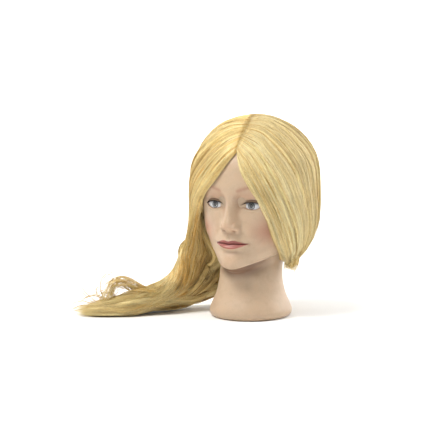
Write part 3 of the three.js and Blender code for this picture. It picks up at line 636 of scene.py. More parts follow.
lash_mat = Mat("lash_fibre")
ln = lash_mat.noise(900, 2, 0.5)
lash_mat.link(lash_mat.ramp(ln.outputs["Fac"], [(0.3, tuple(lin(24, 18, 15))), (0.7, tuple(lin(44, 34, 28)))]), "Base Color")
lash_mat.set(Roughness=0.5, Specular_IOR_Level=0.4)
for name, side in (("right", -1), ("left", 1)):
    rng = np.random.default_rng(90 + side)
    nl = 130
    u_ = np.concatenate([np.linspace(0.03, 0.985, nl)]) + rng.normal(0, 0.004, nl)
    axl = IN_X + (OUT_X - IN_X) * u_
    zul, _ = lid_lines(axl)
    Fl = face_reach(side * axl, zul + 0.4) + 0.2
    root = np.stack([side * axl, -Fl, zul + 0.15], -1)
    length = (2.2 + 2.6 * np.sin(np.clip(u_, 0, 1) * 2.4 + 0.25)) * rng.uniform(0.75, 1.1, nl)
    fan = (u_ - 0.42) * 1.15 + rng.normal(0, 0.09, nl)
    mm_ = 9
    ts_ = np.linspace(0, 1, mm_)
    out_ = np.stack([side * fan * 0.9, -np.ones(nl), np.full(nl, -0.16)], -1)
    out_ /= np.linalg.norm(out_, axis=1, keepdims=True)
    upv = np.stack([side * fan * 0.45, np.full(nl, -0.12), np.ones(nl)], -1)
    P = root[:, None] + length[:, None, None] * (out_[:, None] * (ts_ - 0.25 * ts_ ** 2)[None, :, None] * 0.86 + upv[:, None] * (ts_ ** 1.9)[None, :, None] * 0.24)
    R = 0.13 * np.ones((nl, mm_)) * (1.0 - 0.85 * ts_ ** 1.5)[None]
    v, f, uvl = lash_tubes(P, R)
    # the strip they are set in
    us = np.linspace(0.02, 0.99, 60)
    axs = IN_X + (OUT_X - IN_X) * us
    zs_l, _ = lid_lines(axs)
    Fs = face_reach(side * axs, zs_l + 0.4)
    Fs = np.convolve(np.pad(Fs, 3, mode="edge"), np.ones(7) / 7, mode="valid")
    S = np.stack([side * axs, -(Fs + 0.15), zs_l + 0.1], -1)[None]
    v2, f2, uv2 = lash_tubes(S, (0.42 * np.sin(np.pi * np.clip(us, 0.04, 0.96)) ** 0.5)[None])
    uvl = uvl * [0.9, 1.0]
    uv2 = uv2 * [0.05, 1.0] + [0.93, 0]
    k = len(v)
    o = new_mesh("lash_strip_" + name, np.concatenate([v, v2]), [f[0], f[1], f2[0] + k, f2[1] + k], uv=np.concatenate([uvl, uv2]))
    put(o, lash_mat)
    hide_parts("lash_" + name)


# ---------------------------------------------------------------- inner pieces keep their CAD shape
m = Mat("plate_plastic")
m.set(IOR=1.46)
n = m.noise(260, 5, 0.6)
m.link(m.ramp(n.outputs["Fac"], [(0.3, tuple(lin(196, 172, 142))), (0.7, tuple(lin(212, 188, 158)))]), "Base Color")
m.link(m.math("MULTIPLY_ADD", n.outputs["Fac"], 0.2, 0.5), "Roughness")
m.bump(m.noise(1800, 2, 0.5).outputs["Fac"], 0.25, 0.0002)
remat("neck_base_plate", m)

m = Mat("socket_plastic")
n = m.noise(320, 4, 0.6)
m.link(m.ramp(n.outputs["Fac"], [(0.3, tuple(lin(48, 48, 50))), (0.7, tuple(lin(64, 64, 66)))]), "Base Color")
m.link(m.math("MULTIPLY_ADD", n.outputs["Fac"], 0.25, 0.32), "Roughness")
m.bump(m.noise(1400, 2, 0.5).outputs["Fac"], 0.2, 0.0002)
remat("clamp_socket", m)

m = Mat("core_foam")
v1 = m.node("ShaderNodeTexVoronoi", None, Scale=900.0)
m.t.links.new(m.obj(), v1.inputs["Vector"])
m.link(m.ramp(v1.outputs["Distance"], [(0.1, tuple(lin(206, 196, 158))), (0.6, tuple(lin(236, 226, 190)))]), "Base Color")
m.set(Roughness=0.92)
m.bump(v1.outputs["Distance"], 0.6, 0.0005)
remat("foam_core", m)

m = Mat("root_glue")
n = m.noise(150, 5, 0.65)
m.link(m.ramp(n.outputs["Fac"], [(0.3, tuple(lin(190, 172, 124))), (0.7, tuple(lin(214, 198, 150)))]), "Base Color")
m.link(m.math("MULTIPLY_ADD", n.outputs["Fac"], 0.3, 0.25), "Roughness")
m.bump(n.outputs["Fac"], 0.5, 0.0008)
remat("root_glue_layer", m)


# ---------------------------------------------------------------- hair
# Outer surface of the combed hair: distance from the scalp by row, at the front, side and back.
H_FRONT = [[8, 8], [16, 8], [19, 6.5], [21, 9], [22.5, 11.5], [23.5, 12.5]]
H_SIDE = [[8, 18], [12, 13], [16, 10.5], [20, 10.5], [22, 12], [23.5, 12.5]]
H_SIDE_R = [[8, 20], [10.5, 19], [12, 19], [13.5, 19], [15, 16.5], [16.5, 13], [18, 11], [20, 10.5], [22, 12], [23.5, 12.5]]
H_BACK = [[8, 28], [11, 23], [14, 17], [18, 12], [21, 12], [23.5, 12.5]]


def lerp_table(rows, t):
    r_ = np.array(rows, float)
    return np.interp(t, r_[:, 0], r_[:, 1])


def hair_thick(t, ph):
    c_ = np.cos(ph)
    g = c_ * c_
    side_t = np.where(np.sin(ph) >= 0, lerp_table(H_SIDE, t), lerp_table(H_SIDE_R, t))
    return side_t * (1 - g) + np.where(c_ >= 0, lerp_table(H_FRONT, t), lerp_table(H_BACK, t)) * g


def hair_surf(t, ph, k):
    """k = 0 on the scalp, 1 on the outside of the hair."""
    n = head_normal(t, ph)
    return head(t, ph) + n * (0.6 + (hair_thick(t, ph) - 0.6) * k)[..., None], n


def resample(P, m):
    """Evenly spaced points along each polyline of (n, k, d)."""
    P = np.asarray(P, float)
    if P.ndim == 2:
        P = P[None]
    out = np.empty((len(P), m, P.shape[2]))
    for i, p in enumerate(P):
        # smooth first: Catmull-Rom samples
        q = rows_at(p, np.linspace(0, len(p) - 1, 160))
        s = np.concatenate([[0], np.cumsum(np.linalg.norm(np.diff(q[:, :3], axis=0), axis=1))])
        u_ = np.linspace(0, s[-1], m)
        for d in range(p.shape[1]):
            out[i, :, d] = np.interp(u_, s, q[:, d])
    return out


def spline_rows(G, u_):
    """Interpolate between guides: G (g, m, d), u_ in 0..1 (n,) -> (n, m, d)."""
    g = len(G) - 1
    return rows_at(G.reshape(len(G), -1), np.asarray(u_) * g).reshape(len(u_), *G.shape[1:])


def smooth_noise(rng, n, m, knots):
    """Random curves of amplitude about 1, n of them with m samples, `knots` bends each."""
    k = rng.standard_normal((n, knots + 3))
    return rows_at(k.T, np.linspace(1, knots + 1, m)).T


COL_A = lin(252, 238, 184)
COL_B = lin(238, 210, 140)
COL_C = lin(176, 132, 62)
COL_HI = lin(255, 248, 210)


def clump_colour(rng, n, dark=0.16, bright=0.25):
    """One blond shade per clump or strand."""
    a = rng.random(n)
    c = COL_A[None] * (1 - a[:, None]) + COL_B[None] * a[:, None]
    d = rng.random(n) < dark
    c[d] = c[d] * 0.35 + COL_C * 0.65
    e = rng.random(n) < bright
    c[e] = c[e] * 0.4 + COL_HI * 0.6
    return c


def streaks(rng, n, share=0.15):
    """Brightness of each clump: most near 1, some noticeably darker and warmer."""
    v = np.repeat(np.exp(rng.normal(-0.02, 0.08, n))[:, None], 3, axis=1)
    d = rng.random(n) < share
    v[d] *= np.array([0.72, 0.58, 0.36]) * rng.uniform(0.85, 1.15, (d.sum(), 1))
    return v, d


def tubes(P, R, C, up=None):
    """Three-sided tubes: P (n, m, 3), R (n, m), C (n, m, 3) or (n, 3) -> verts, faces, colours, uv."""
    n, m, _ = P.shape
    T = np.gradient(P, axis=1)
    T /= np.maximum(np.linalg.norm(T, axis=-1, keepdims=True), 1e-9)
    if up is None:
        up = np.broadcast_to(np.array([0.31, 0.52, 0.79]), P.shape)
    A = np.cross(T, up)
    la = np.linalg.norm(A, axis=-1, keepdims=True)
    A = np.where(la > 1e-6, A / np.maximum(la, 1e-9), np.array([1.0, 0, 0]))
    B = np.cross(T, A)
    ang = np.array([0, 2, 4]) * math.pi / 3 + math.pi / 2
    V_ = P[:, :, None, :] + R[:, :, None, None] * (np.cos(ang)[None, None, :, None] * A[:, :, None] + np.sin(ang)[None, None, :, None] * B[:, :, None])
    idx = np.arange(n * m * 3).reshape(n, m, 3)
    nx = np.roll(idx, -1, axis=2)
    quads_ = np.stack([idx[:, :-1], idx[:, 1:], nx[:, 1:], nx[:, :-1]], -1).reshape(-1, 4)
    caps = np.concatenate([idx[:, 0, :], idx[:, -1, ::-1]])
    if C.ndim == 2:
        C = np.repeat(C[:, None], m, axis=1)
    colours = np.repeat(C[:, :, None, :], 3, axis=2).reshape(-1, 3)
    cols = 128
    rows_n = max(1, math.ceil(n / cols))
    ci, ri = np.arange(n) % cols, np.arange(n) // cols
    uu_ = (ci[:, None, None] + 0.25 + 0.25 * np.arange(3)[None, None]) / cols
    vv_ = (ri[:, None, None] + 0.04 + 0.92 * np.linspace(0, 1, m)[None, :, None]) / rows_n
    uv = np.stack(np.broadcast_arrays(uu_, vv_), -1).reshape(-1, 2)
    return V_.reshape(-1, 3), [quads_, caps], colours, uv


hair_pieces = []


def hair_material(name, rough=0.50):
    m = Mat(name)
    m.set(IOR=1.5, Specular_IOR_Level=0.42, Anisotropic=0.0, Subsurface_Weight=0.0, Sheen_Weight=0.18, Sheen_Roughness=0.4)
    m.p.inputs["Sheen Tint"].default_value = (1.0, 0.90, 0.66, 1)
    n1 = m.noise(420, 3, 0.6)
    n2 = m.noise(60, 2, 0.5)
    s1 = m.ramp(n1.outputs["Fac"], [(0.3, (0.90, 0.885, 0.86)), (0.7, (1.05, 1.05, 1.05))])
    s2 = m.ramp(n2.outputs["Fac"], [(0.3, (0.94, 0.93, 0.90)), (0.7, (1.04, 1.04, 1.04))])
    m.link(m.mixc(1.0, m.mixc(1.0, m.attr("Col"), s1, "MULTIPLY"), s2, "MULTIPLY"), "Base Color")
    m.link(m.math("MULTIPLY_ADD", n1.outputs["Fac"], 0.14, rough - 0.07), "Roughness")
    return m


HAIR_MAT = hair_material("hair_fibre")


def clumped(rng, n, n_clumps, spread):
    """Positions 0..1 of n strands gathered round clump centres; returns positions, clump ids and offsets."""
    cen = (np.arange(n_clumps) + 0.5 + rng.uniform(-0.35, 0.35, n_clumps)) / n_clumps
    cid = rng.integers(0, n_clumps, n)
    off = rng.normal(0, spread / n_clumps, n)
    return cen, cid, off


# Combing guides as (row, degrees round the head), from the parting downwards.
# The head's left side: the first ones end in the short tuft behind the jaw, the rest turn behind the nape.
LEFT = [
 [(19.95, 4.9), (19.2, 8.4), (18.2, 13.3), (17.07, 20.3), (15.9, 27.3), (15.0, 31.2), (13.8, 37.2), (12.06, 45.5), (10.3, 56.5), (9.1, 67), (8.1, 76), (7.3, 83)],
 [(20.05, 5.1), (19.4, 12.3), (18.51, 19.7), (16.76, 30.3), (14.94, 38.3), (12.6, 47.9), (10.44, 60), (9.1, 71), (8.1, 79), (7.2, 86)],
 [(20.61, 6.0), (20.2, 15.4), (19.53, 26.3), (17.81, 39), (15.66, 50), (13.22, 59), (10.9, 70.5), (9.2, 80), (7.2, 88)],
 [(21.51, 6.6), (21.3, 19), (20.77, 33), (18.99, 50.7), (16.66, 64), (13.86, 74), (11.24, 82.3), (9.3, 88), (7.3, 92)],
 [(22.41, 6.0), (22.5, 27), (22.2, 48), (20.48, 67.3), (18.12, 81), (15.24, 90), (12.73, 95), (10.37, 98), (7.6, 97)],
 [(23.0, 4.0), (23.2, 50), (22.6, 80), (20.9, 96), (18.4, 106), (15.45, 112), (13.0, 115), (10.9, 119), (9.3, 128), (8.3, 142)],
 [(23.5, 0.0), (23.6, 80), (22.8, 112), (21, 124), (18, 130), (15, 134), (12, 139), (10.2, 147), (8.7, 160), (7.6, 176)],
 [(23.75, 30), (23.7, 110), (22.9, 140), (21, 148), (18, 152), (15, 156), (12, 163), (10.2, 173), (8.7, 187), (7.7, 203)],
 [(23.9, 60), (23.8, 150), (23.0, 166), (21, 171), (18, 175), (15, 180), (12, 188), (10.3, 198), (9.0, 210), (8.0, 223)]]
RIGHT = [
 [(19.95, 5.4), (19.55, 1.6), (19.15, -0.9), (18.3, -7.3), (17.22, -16.6), (16.3, -27.0), (15.3, -38), (14.2, -50), (13.2, -60)],
 [(20.61, 6.9), (20.3, 0.6), (19.92, -6.7), (18.81, -17), (17.48, -28), (16.0, -41), (14.6, -55), (13.3, -66), (12.6, -71)],
 [(21.51, 8.2), (21.3, -4), (21.0, -13.3), (19.97, -28), (18.69, -39), (17.07, -53), (15.4, -66), (13.8, -75), (12.6, -80)],
 [(22.41, 8.6), (22.5, -18), (22.2, -40), (20.8, -58), (19.0, -69), (17.2, -77), (15.3, -83), (13.6, -88), (12.5, -91)],
 [(23.0, 3.4), (23.2, -44), (22.6, -74), (21.0, -90), (18.6, -99), (16.4, -103), (14.6, -105), (13.2, -106), (12.2, -106)],
 [(23.5, -1.0), (23.6, -75), (22.8, -106), (21, -120), (18.6, -127), (16.2, -130), (14, -130), (12.3, -128), (11.0, -124), (9.6, -116)],
 [(23.75, -20), (23.7, -110), (22.9, -138), (21, -148), (18, -153), (15, -154), (12.6, -152), (10.8, -147), (9.6, -139), (8.5, -127)],
 [(23.9, -60), (23.8, -160), (23.0, -180), (21, -192), (18, -188), (15, -183), (12.5, -176), (10.8, -166), (9.6, -156), (8.5, -142)]]


def on_head(guides, m, k=1.0, drop=0):
    """Guides on the head as xyz curves (g, m, 3) with their outward normals, on the hair's outside."""
    P0, P1, N_ = [], [], []
    for g in guides:
        a = np.array(g[:len(g) - drop], float)
        q = rows_at(a, np.linspace(0, len(a) - 1, 300))
        q[:, 0] = np.clip(q[:, 0], 5, 23.97)
        ph = np.radians(q[:, 1])
        outer, nn = hair_surf(q[:, 0], ph, np.full(len(ph), k))
        inner, _ = hair_surf(q[:, 0], ph, np.zeros(len(ph)))
        s = np.concatenate([[0], np.cumsum(np.linalg.norm(np.diff(outer, axis=0), axis=1))])
        w_ = np.linspace(0, s[-1], m)
        pick = lambda v: np.stack([np.interp(w_, s, v[:, d]) for d in range(3)], -1)
        P0.append(pick(inner)), P1.append(pick(outer)), N_.append(pick(nn))
    return np.array(P0), np.array(P1), np.array(N_)


def along(P):
    """Unit tangents along each strand."""
    T = np.gradient(P, axis=1)
    return T / np.maximum(np.linalg.norm(T, axis=-1, keepdims=True), 1e-9)


def max_strands(m):
    return int(194000 / (6 * (m - 1) + 2))


def comb(name, guides, u0, u1, n, m, seed, width=0.30, clumps=60, nodes=(), edge=True, lift=1.0, drop=0, wave=0.0, cut=(0.90, 1.0), dark=0.14):
    """A combed sheet of strands between two positions across the guides."""
    rng = np.random.default_rng(seed)
    P0, P1, N_ = on_head(guides, m, 1.0, drop)
    cen, cid, off = clumped(rng, n, clumps, 0.42)
    u_ = np.clip(u0 + (u1 - u0) * (cen[cid] + off), min(u0, 0.0) if u0 > 0 else 0.0, 1.0)
    A, B, NN = spline_rows(P0, u_), spline_rows(P1, u_), spline_rows(N_, u_)
    NN /= np.linalg.norm(NN, axis=-1, keepdims=True)
    tau = np.linspace(0, 1, m)
    layer = rng.random(n) ** 0.7                                  # 1 = outermost
    st, low_ = streaks(rng, clumps)
    big = (cen * clumps / 5).astype(int)
    clump_h = -0.10 * low_[cid] + rng.normal(0, 0.055, clumps)[cid] + rng.normal(0, 0.05, big.max() + 2)[big[cid]]
    k = (0.74 + 0.26 * layer)[:, None] * np.ones(m)[None] + clump_h[:, None] * sstep(0.02, 0.3, tau)[None]
    root_k = (0.84 + 0.14 * sstep(0.03, 0.25, u_))[:, None]
    k *= root_k + (1 - root_k) * sstep(-0.02, 0.13, tau)[None]
    if edge:
        e = sstep(0.0, 0.10, u_)
        k *= (0.34 + 0.66 * e)[:, None]
    k = np.minimum(k, 1.06) * lift
    P = A + (B - A) * k[..., None]
    # gather the strands of a clump a little, then let them wander
    T = along(P)
    S_ = np.cross(T, NN)
    S_ /= np.maximum(np.linalg.norm(S_, axis=-1, keepdims=True), 1e-9)
    w1 = smooth_noise(rng, clumps, m, 4)[cid] * 0.7
    w2 = smooth_noise(rng, n, m, 6) * 0.62
    w3 = smooth_noise(rng, n, m, 5) * 0.42
    stray = rng.random(n) < 0.05
    w2[stray] *= 2.6
    w3[stray] = np.abs(w3[stray]) * 2.2
    grow_ = sstep(0.0, 0.25, tau)[None]
    amp = (w1 + w2) * grow_ + wave * np.sin(2 * np.pi * (2.1 * tau[None] + rng.random(clumps)[cid][:, None] * 0.25)) * sstep(0.35, 0.9, tau)[None]
    if edge:
        amp = amp * (0.6 + 0.4 * sstep(0.0, 0.12, u_))[:, None]
    P = P + S_ * amp[..., None] + NN * (w3 * grow_)[..., None]
    # cut each strand to its own length
    end = rng.uniform(cut[0], cut[1], n)
    idx = tau[None] * end[:, None] * (m - 1)
    P = resample_rows(P, idx)
    NN = resample_rows(NN, idx)
    R = np.full((n, m), width) * rng.uniform(0.75, 1.2, n)[:, None]
    R = R * (0.25 + 0.75 * sstep(0, 0.05, tau))[None] * (0.12 + 0.88 * sstep(1.0, 0.86, tau))[None]
    c_ = clump_colour(rng, clumps, dark)[cid] * 0.55 + clump_colour(rng, n, dark) * 0.45
    c_ = np.minimum(c_ * st[cid], 1.0)
    C = np.repeat(c_[:, None], m, axis=1)
    root = (1 - np.array([0.06, 0.13, 0.24])[None] * (1 - sstep(0.0, 0.09, tau))[:, None])[None]
    # painted shade: strands lower in the hair (layer near 0) come out darker and warmer
    deep_shade = 1 - (1 - layer)[:, None, None] * np.array([0.14, 0.23, 0.36])
    C = C * root * deep_shade
    return P, R, C, NN


def resample_rows(P, idx):
    i = np.clip(np.floor(idx).astype(int), 0, P.shape[1] - 2)
    f = (idx - i)[..., None]
    r_ = np.arange(len(P))[:, None]
    return P[r_, i] * (1 - f) + P[r_, i + 1] * f


def emit(name, P, R, C, up=None, nodes=()):
    m = P.shape[1]
    k = max(1, math.ceil(len(P) / max_strands(m)))
    order = np.array_split(np.arange(len(P)), k)
    for i, ix in enumerate(order):
        v, f, c_, uv = tubes(P[ix], R[ix], C[ix], None if up is None else up[ix])
        o = new_mesh(f"{name}_{i + 1}" if k > 1 else name, v, f, colour=c_, uv=uv)
        put(o, HAIR_MAT)
        if nodes:
            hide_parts(*nodes)
        hair_pieces.append(o)


# ---------------------------------------------------------------- body of the hair under the strands
def closed_grid(front_, back_):
    """Closed skin over two point grids (nu, nv, 3) that share their border layout."""
    nu, nv, _ = front_.shape
    g1 = np.arange(nu * nv).reshape(nu, nv)
    g2 = g1 + nu * nv
    q = lambda g: np.stack([g[:-1, :-1], g[1:, :-1], g[1:, 1:], g[:-1, 1:]], -1).reshape(-1, 4)
    ring1 = np.concatenate([g1[:, 0], g1[-1, 1:], g1[-2::-1, -1], g1[0, -2:0:-1]])
    ring2 = np.concatenate([g2[:, 0], g2[-1, 1:], g2[-2::-1, -1], g2[0, -2:0:-1]])
    n1, n2 = np.roll(ring1, -1), np.roll(ring2, -1)
    side_ = np.stack([ring1, n1, n2, ring2], -1)
    faces = np.concatenate([q(g1)[:, ::-1], q(g2), side_])
    return np.concatenate([front_.reshape(-1, 3), back_.reshape(-1, 3)]), faces


def grid_uv(nu, nv):
    a, c_ = np.meshgrid(np.linspace(0.01, 0.49, nu), np.linspace(0.01, 0.99, nv), indexing="ij")
    f1 = np.stack([a, c_], -1).reshape(-1, 2)
    return np.concatenate([f1, f1 + [0.5, 0]])


def under_sheet(name, guides, u0, u1, nu, nv, seed, nodes=(), drop=0, k_out=0.70, edge=True):
    rng = np.random.default_rng(seed)
    P0, P1, N_ = on_head(guides, nv, 1.0, drop)
    u_ = np.linspace(u0, u1, nu)
    A, B = spline_rows(P0, u_), spline_rows(P1, u_)
    tau = np.linspace(0, 1, nv)
    rid = np.interp(np.linspace(0, 1, nu), np.linspace(0, 1, nu // 3 + 2), rng.normal(0, 0.035, nu // 3 + 2))
    k = np.ones((nu, nv)) * k_out + rid[:, None] * sstep(0, 0.2, tau)[None]
    k *= 0.92 + 0.08 * sstep(-0.02, 0.15, tau)[None]
    if edge:
        k *= (0.28 + 0.72 * sstep(0.0, 0.12, u_))[:, None]
    k *= (1 - 0.9 * sstep(0.62, 0.97, tau))[None]
    k = np.where(tau[None] > 0.999, 0.05, k)
    outer = A + (B - A) * k[..., None]
    inner = A + (B - A) * 0.02
    v, f = closed_grid(outer, inner)
    # painted shade: the body under the strands is coloured darker, as the shaded depth of the hair
    c_ = clump_colour(rng, nu, 0.3, 0.1) * np.array([0.74, 0.64, 0.48])
    C = np.repeat(c_[:, None], nv, axis=1).reshape(-1, 3)
    o = new_mesh(name, v, f, colour=np.concatenate([C, C]), uv=grid_uv(nu, nv))
    put(o, HAIR_MAT)
    if nodes:
        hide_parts(*nodes)
    return o


under_sheet("body_front_left", LEFT, 0.02, 0.56, 90, 60, 31, ("hair_front_left",))
under_sheet("body_front_right", RIGHT, 0.03, 0.66, 90, 60, 32, ("hair_front_right",))
under_sheet("body_back_left", LEFT, 0.55, 1.0, 70, 60, 33, ("hair_back",), edge=False)
under_sheet("body_back_right", RIGHT, 0.65, 1.0, 60, 60, 34, ("hair_back", "hair_crown"), edge=False)

P, R, C, NN = comb("left", LEFT, 0.0, 0.56, 5200, 26, 41, width=0.25, clumps=170, cut=(0.84, 1.0))
emit("strands_front_left", P, R, C, NN, ("hair_front_left",))
P, R, C, NN = comb("back_left", LEFT, 0.54, 1.0, 2700, 24, 42, width=0.28, clumps=110, edge=False)
emit("strands_back_left", P, R, C, NN, ("hair_back",))
P, R, C, NN = comb("back_right", RIGHT, 0.66, 1.0, 1900, 24, 43, width=0.28, clumps=80, edge=False)
emit("strands_back_right", P, R, C, NN, ("hair_back", "hair_crown"))


# ---------------------------------------------------------------- free locks
def lock_frames(rows_, m):
    """rows_: (x, y, z, half across, half up, ref x, ref y, ref z) along a lock -> centres, axes, sizes."""
    q = rows_at(np.array(rows_, float), np.linspace(0, len(rows_) - 1, 400))
    s = np.concatenate([[0], np.cumsum(np.linalg.norm(np.diff(q[:, :3], axis=0), axis=1))])
    w_ = np.linspace(0, s[-1], m)
    q = np.stack([np.interp(w_, s, q[:, d]) for d in range(8)], -1)
    C_ = q[:, :3]
    T = np.gradient(C_, axis=0)
    T /= np.linalg.norm(T, axis=1, keepdims=True)
    side_ = np.cross(q[:, 5:8], T)
    side_ /= np.linalg.norm(side_, axis=1, keepdims=True)
    up_ = np.cross(T, side_)
    return C_, side_, up_, q[:, 3], q[:, 4], s[-1]


def disc(rng, n):
    r_ = np.sqrt(rng.random(n))
    a = rng.random(n) * 2 * np.pi
    return r_ * np.cos(a), r_ * np.sin(a)


def in_lock(rng, rows_, a, b_, cid, m, twist=0.0, tangle=0.16, wave=0.0, wave_n=3.0, turns=None):
    """Strands that keep their place (a across, b up) in a lock's section, turning and wandering along it."""
    C_, side_, up_, A, B, length = lock_frames(rows_, m)
    n = len(a)
    nc = cid.max() + 1
    tau = np.linspace(0, 1, m)
    loose = tangle * (1 + 2.0 * tau ** 2)[None]
    ta = a[:, None] + loose * (smooth_noise(rng, nc, m, 5)[cid] * 1.15 + smooth_noise(rng, n, m, 5) * 0.30)
    tb = b_[:, None] + loose * (smooth_noise(rng, nc, m, 5)[cid] * 1.15 + smooth_noise(rng, n, m, 5) * 0.30)
    th = twist * tau[None] + (smooth_noise(rng, nc, m, 3)[cid] * 0.16)
    ra, rb = ta * np.cos(th) - tb * np.sin(th), ta * np.sin(th) + tb * np.cos(th)
    rr_ = np.sqrt(ra ** 2 + rb ** 2)
    lim = np.maximum(1.0, rr_ / (1.0 + 0.45 * tau ** 3)[None])
    ra, rb = ra / lim, rb / lim
    if wave:
        ph0 = (rng.random(nc) * 0.35)[cid]
        grow_w = (sstep(0.22, 0.6, tau) * (1 - 0.3 * tau))[None]
        rb = rb + wave * grow_w * np.sin(2 * np.pi * (wave_n * tau[None] + ph0[:, None]))
        ra = ra + 0.6 * wave * grow_w * np.cos(2 * np.pi * (wave_n * tau[None] + ph0[:, None]))
    return (C_[None] + side_[None] * (ra * A[None])[..., None] + up_[None] * (rb * B[None])[..., None])


OUT_ = (-1.0, 0.0, 0.0)
UP_ = (0.0, 0.0, 1.0)
TAIL = [(-150, -78, 15, 21, 13, *UP_), (-166, -92, 12, 19, 11, *UP_), (-184, -103, 9, 17, 8.5, *UP_),
        (-200, -110, 7.5, 15, 6.5, *UP_), (-212, -114, 6.6, 13, 5, *UP_), (-223, -116, 6, 9, 4, *UP_)]
FALL = [
 (-82, 6, 100, 26, 13, *OUT_), (-87, 5, 88, 30, 18, *OUT_), (-91.5, 3, 75, 30, 19, *OUT_), (-96, -3, 61, 28, 18.5, -1, 0, 0.2),
 (-102, -13, 47, 26, 17, -0.8, 0, 0.6), (-111, -27, 34, 25, 16, -0.4, 0, 0.92), (-122, -43, 25, 24, 15, -0.1, 0, 1),
 (-134, -60, 19.5, 23, 14.5, *UP_)] + TAIL
SWEEP = [
 (26, 58, 94, 8, 11, *UP_), (6, 68, 80, 10, 17, *UP_), (-25, 72, 64, 13, 25, *UP_), (-54, 62, 53, 15, 31, *UP_),
 (-72, 44, 46, 17, 30, *UP_), (-88, 24, 38, 19, 26, *UP_), (-103, 0, 30, 21, 23, *UP_), (-118, -26, 23, 22, 18, *UP_),
 (-132, -50, 18.5, 22, 15.5, *UP_)] + TAIL
INNER = [
 (-83, 0, 150, 12, 4.5, *OUT_), (-82, 3, 130, 17, 7.5, *OUT_), (-77, 9, 112, 20, 12, *OUT_), (-70.5, 20, 95, 21, 17, *OUT_),
 (-70, 27, 79, 21, 18, *OUT_), (-78, 27, 60, 22, 18, -1, 0, 0.2),
 (-88, 14, 44, 23, 19, -0.7, 0, 0.7), (-103, -6, 31, 22, 17, -0.2, 0, 1), (-118, -30, 23, 22, 15, *UP_),
 (-132, -54, 18, 21, 13.5, *UP_)] + TAIL[:-1] + [(-214, -113, 7, 11, 5, *UP_)]
# the flipped-out lock on the fall, and the open curls at the end of the tress
FLIP = [(-79, 6, 131, 7, 5, *OUT_), (-88, 4, 111, 9, 6, *OUT_), (-97, 1, 97, 11, 8, *OUT_), (-104, -2, 86.5, 12, 9, -1, 0, 0.2),
        (-103, -6, 75, 11, 8, -0.6, 0, 0.8), (-95, -8, 67, 9, 7, -0.2, 0, 1), (-83, -6, 65, 6, 4.5, 0.2, 0, 1)]
CURLS = {
 "curl_high": ([(-108, -30, 27, 9, 6, *UP_), (-121.5, -46, 28.2, 8, 5, *UP_), (-136.1, -60, 31.3, 7, 4.5, *UP_), (-144.8, -70, 38.5, 7, 4, -.3, -.1, 1),
   (-152.9, -78, 45.5, 7, 4, -.2, 0, 1), (-161.1, -86, 48.5, 7, 4, 0, 0, 1), (-169.1, -93, 44.5, 7, 3.8, -1, -.3, .4), (-174.1, -97, 34.5, 7, 3.6, -1, -.3, .1),
   (-177.7, -102, 23, 7, 3.6, -1, -.3, .2), (-185.2, -106, 13.1, 6, 3.4, -.4, -.2, 1), (-195, -109, 7.4, 5, 3, *UP_), (-204.8, -112, 6.5, 4, 2.5, *UP_)], 330),
 "curl_low": ([(-110, -34, 24, 9, 6, *UP_), (-122.7, -44, 25, 8, 5, *UP_), (-137.4, -58, 28.8, 7, 4.5, *UP_), (-149, -66, 33.8, 6, 4, -.2, 0, 1),
   (-157.2, -74, 40, 6, 4, -.2, 0, 1), (-164.5, -82, 41.5, 6, 3.8, 0, 0, 1), (-168.6, -90, 37, 6, 3.6, -1, -.3, .3), (-169.9, -96, 28.5, 6, 3.6, -1, -.2, 0),
   (-174.1, -100, 18.4, 6, 3.6, -1, -.3, .2), (-182.6, -105, 9.6, 5, 3, -.4, -.2, 1), (-193.4, -109, 5, 4, 2.6, *UP_)], 260),
 "curl_mid": ([(-104, -30, 25, 9, 6, *UP_), (-119.1, -50, 24.7, 9, 5.5, *UP_), (-135.8, -66, 24.4, 9, 5.5, *UP_), (-148.3, -78, 20.9, 9, 5, *UP_),
   (-155.3, -88, 15.5, 8, 5, *UP_), (-166.8, -96, 10.4, 8, 4.5, *UP_), (-180.6, -103, 7.2, 7, 4, *UP_), (-194.4, -110, 5.7, 5, 3, *UP_)], 300),
 "curl_inner": ([(-100, -36, 27, 8, 5, *UP_), (-115.5, -56, 28.7, 8, 5, *UP_), (-133.7, -72, 29.7, 8, 5, *UP_), (-149, -82, 27.2, 7, 4.5, *UP_),
   (-157.2, -90, 22.5, 6, 4, *UP_), (-162.4, -96, 15.2, 6, 4, *UP_), (-171.6, -102, 8.3, 6, 3.6, *UP_), (-185.7, -108, 4.6, 5, 3, *UP_)], 220)}
STRAYS = [
 [(-190, -107, 9), (-204, -110, 13), (-216, -113, 12), (-228, -116, 6)], [(-186, -105, 10), (-200, -110, 17), (-214, -114, 18), (-226, -117, 11)],
 [(-196, -110, 7), (-208, -116, 8), (-218, -121, 6), (-226, -122, 3)], [(-172, -96, 16), (-183, -99, 24), (-196, -103, 27), (-208, -108, 22), (-216, -112, 14)],
 [(-168, -100, 12), (-174.1, -100, 18), (-181.6, -101, 27.5), (-186.4, -100, 42.6), (-180.4, -98, 54.8), (-163.5, -96, 61.7), (-147.3, -92, 58.4)],
 [(-176, -103, 8), (-186.8, -106, 15.1), (-197.1, -108, 21.7), (-207.4, -110, 31.2), (-219.8, -110, 47.3)],
 [(-170, -100, 12), (-178.8, -103, 19.5), (-187.4, -105, 26.2), (-191.6, -106, 34.6), (-187.5, -107, 40.7), (-180.9, -107, 36.9)],
 [(-154, -88, 18), (-162.6, -92, 21.9), (-173.9, -95, 27.2), (-184.2, -97, 32.4), (-191.8, -98, 39.1)],
 [(-150, -76, 36), (-160, -84, 47), (-172, -92, 50), (-182, -98, 43), (-188, -102, 32)],
 [(-160, -90, 20), (-170, -97, 30), (-180, -101, 34), (-190, -104, 28), (-197, -108, 17)]]


def keep_above(P, R, table=0.35):
    """No strand goes through the table."""
    low = table + R
    P[..., 2] = np.where(P[..., 2] < low + 1.5, low + 1.5 * np.exp(np.clip((P[..., 2] - low - 1.5) / 1.5, -8, 0)), P[..., 2])
    return P


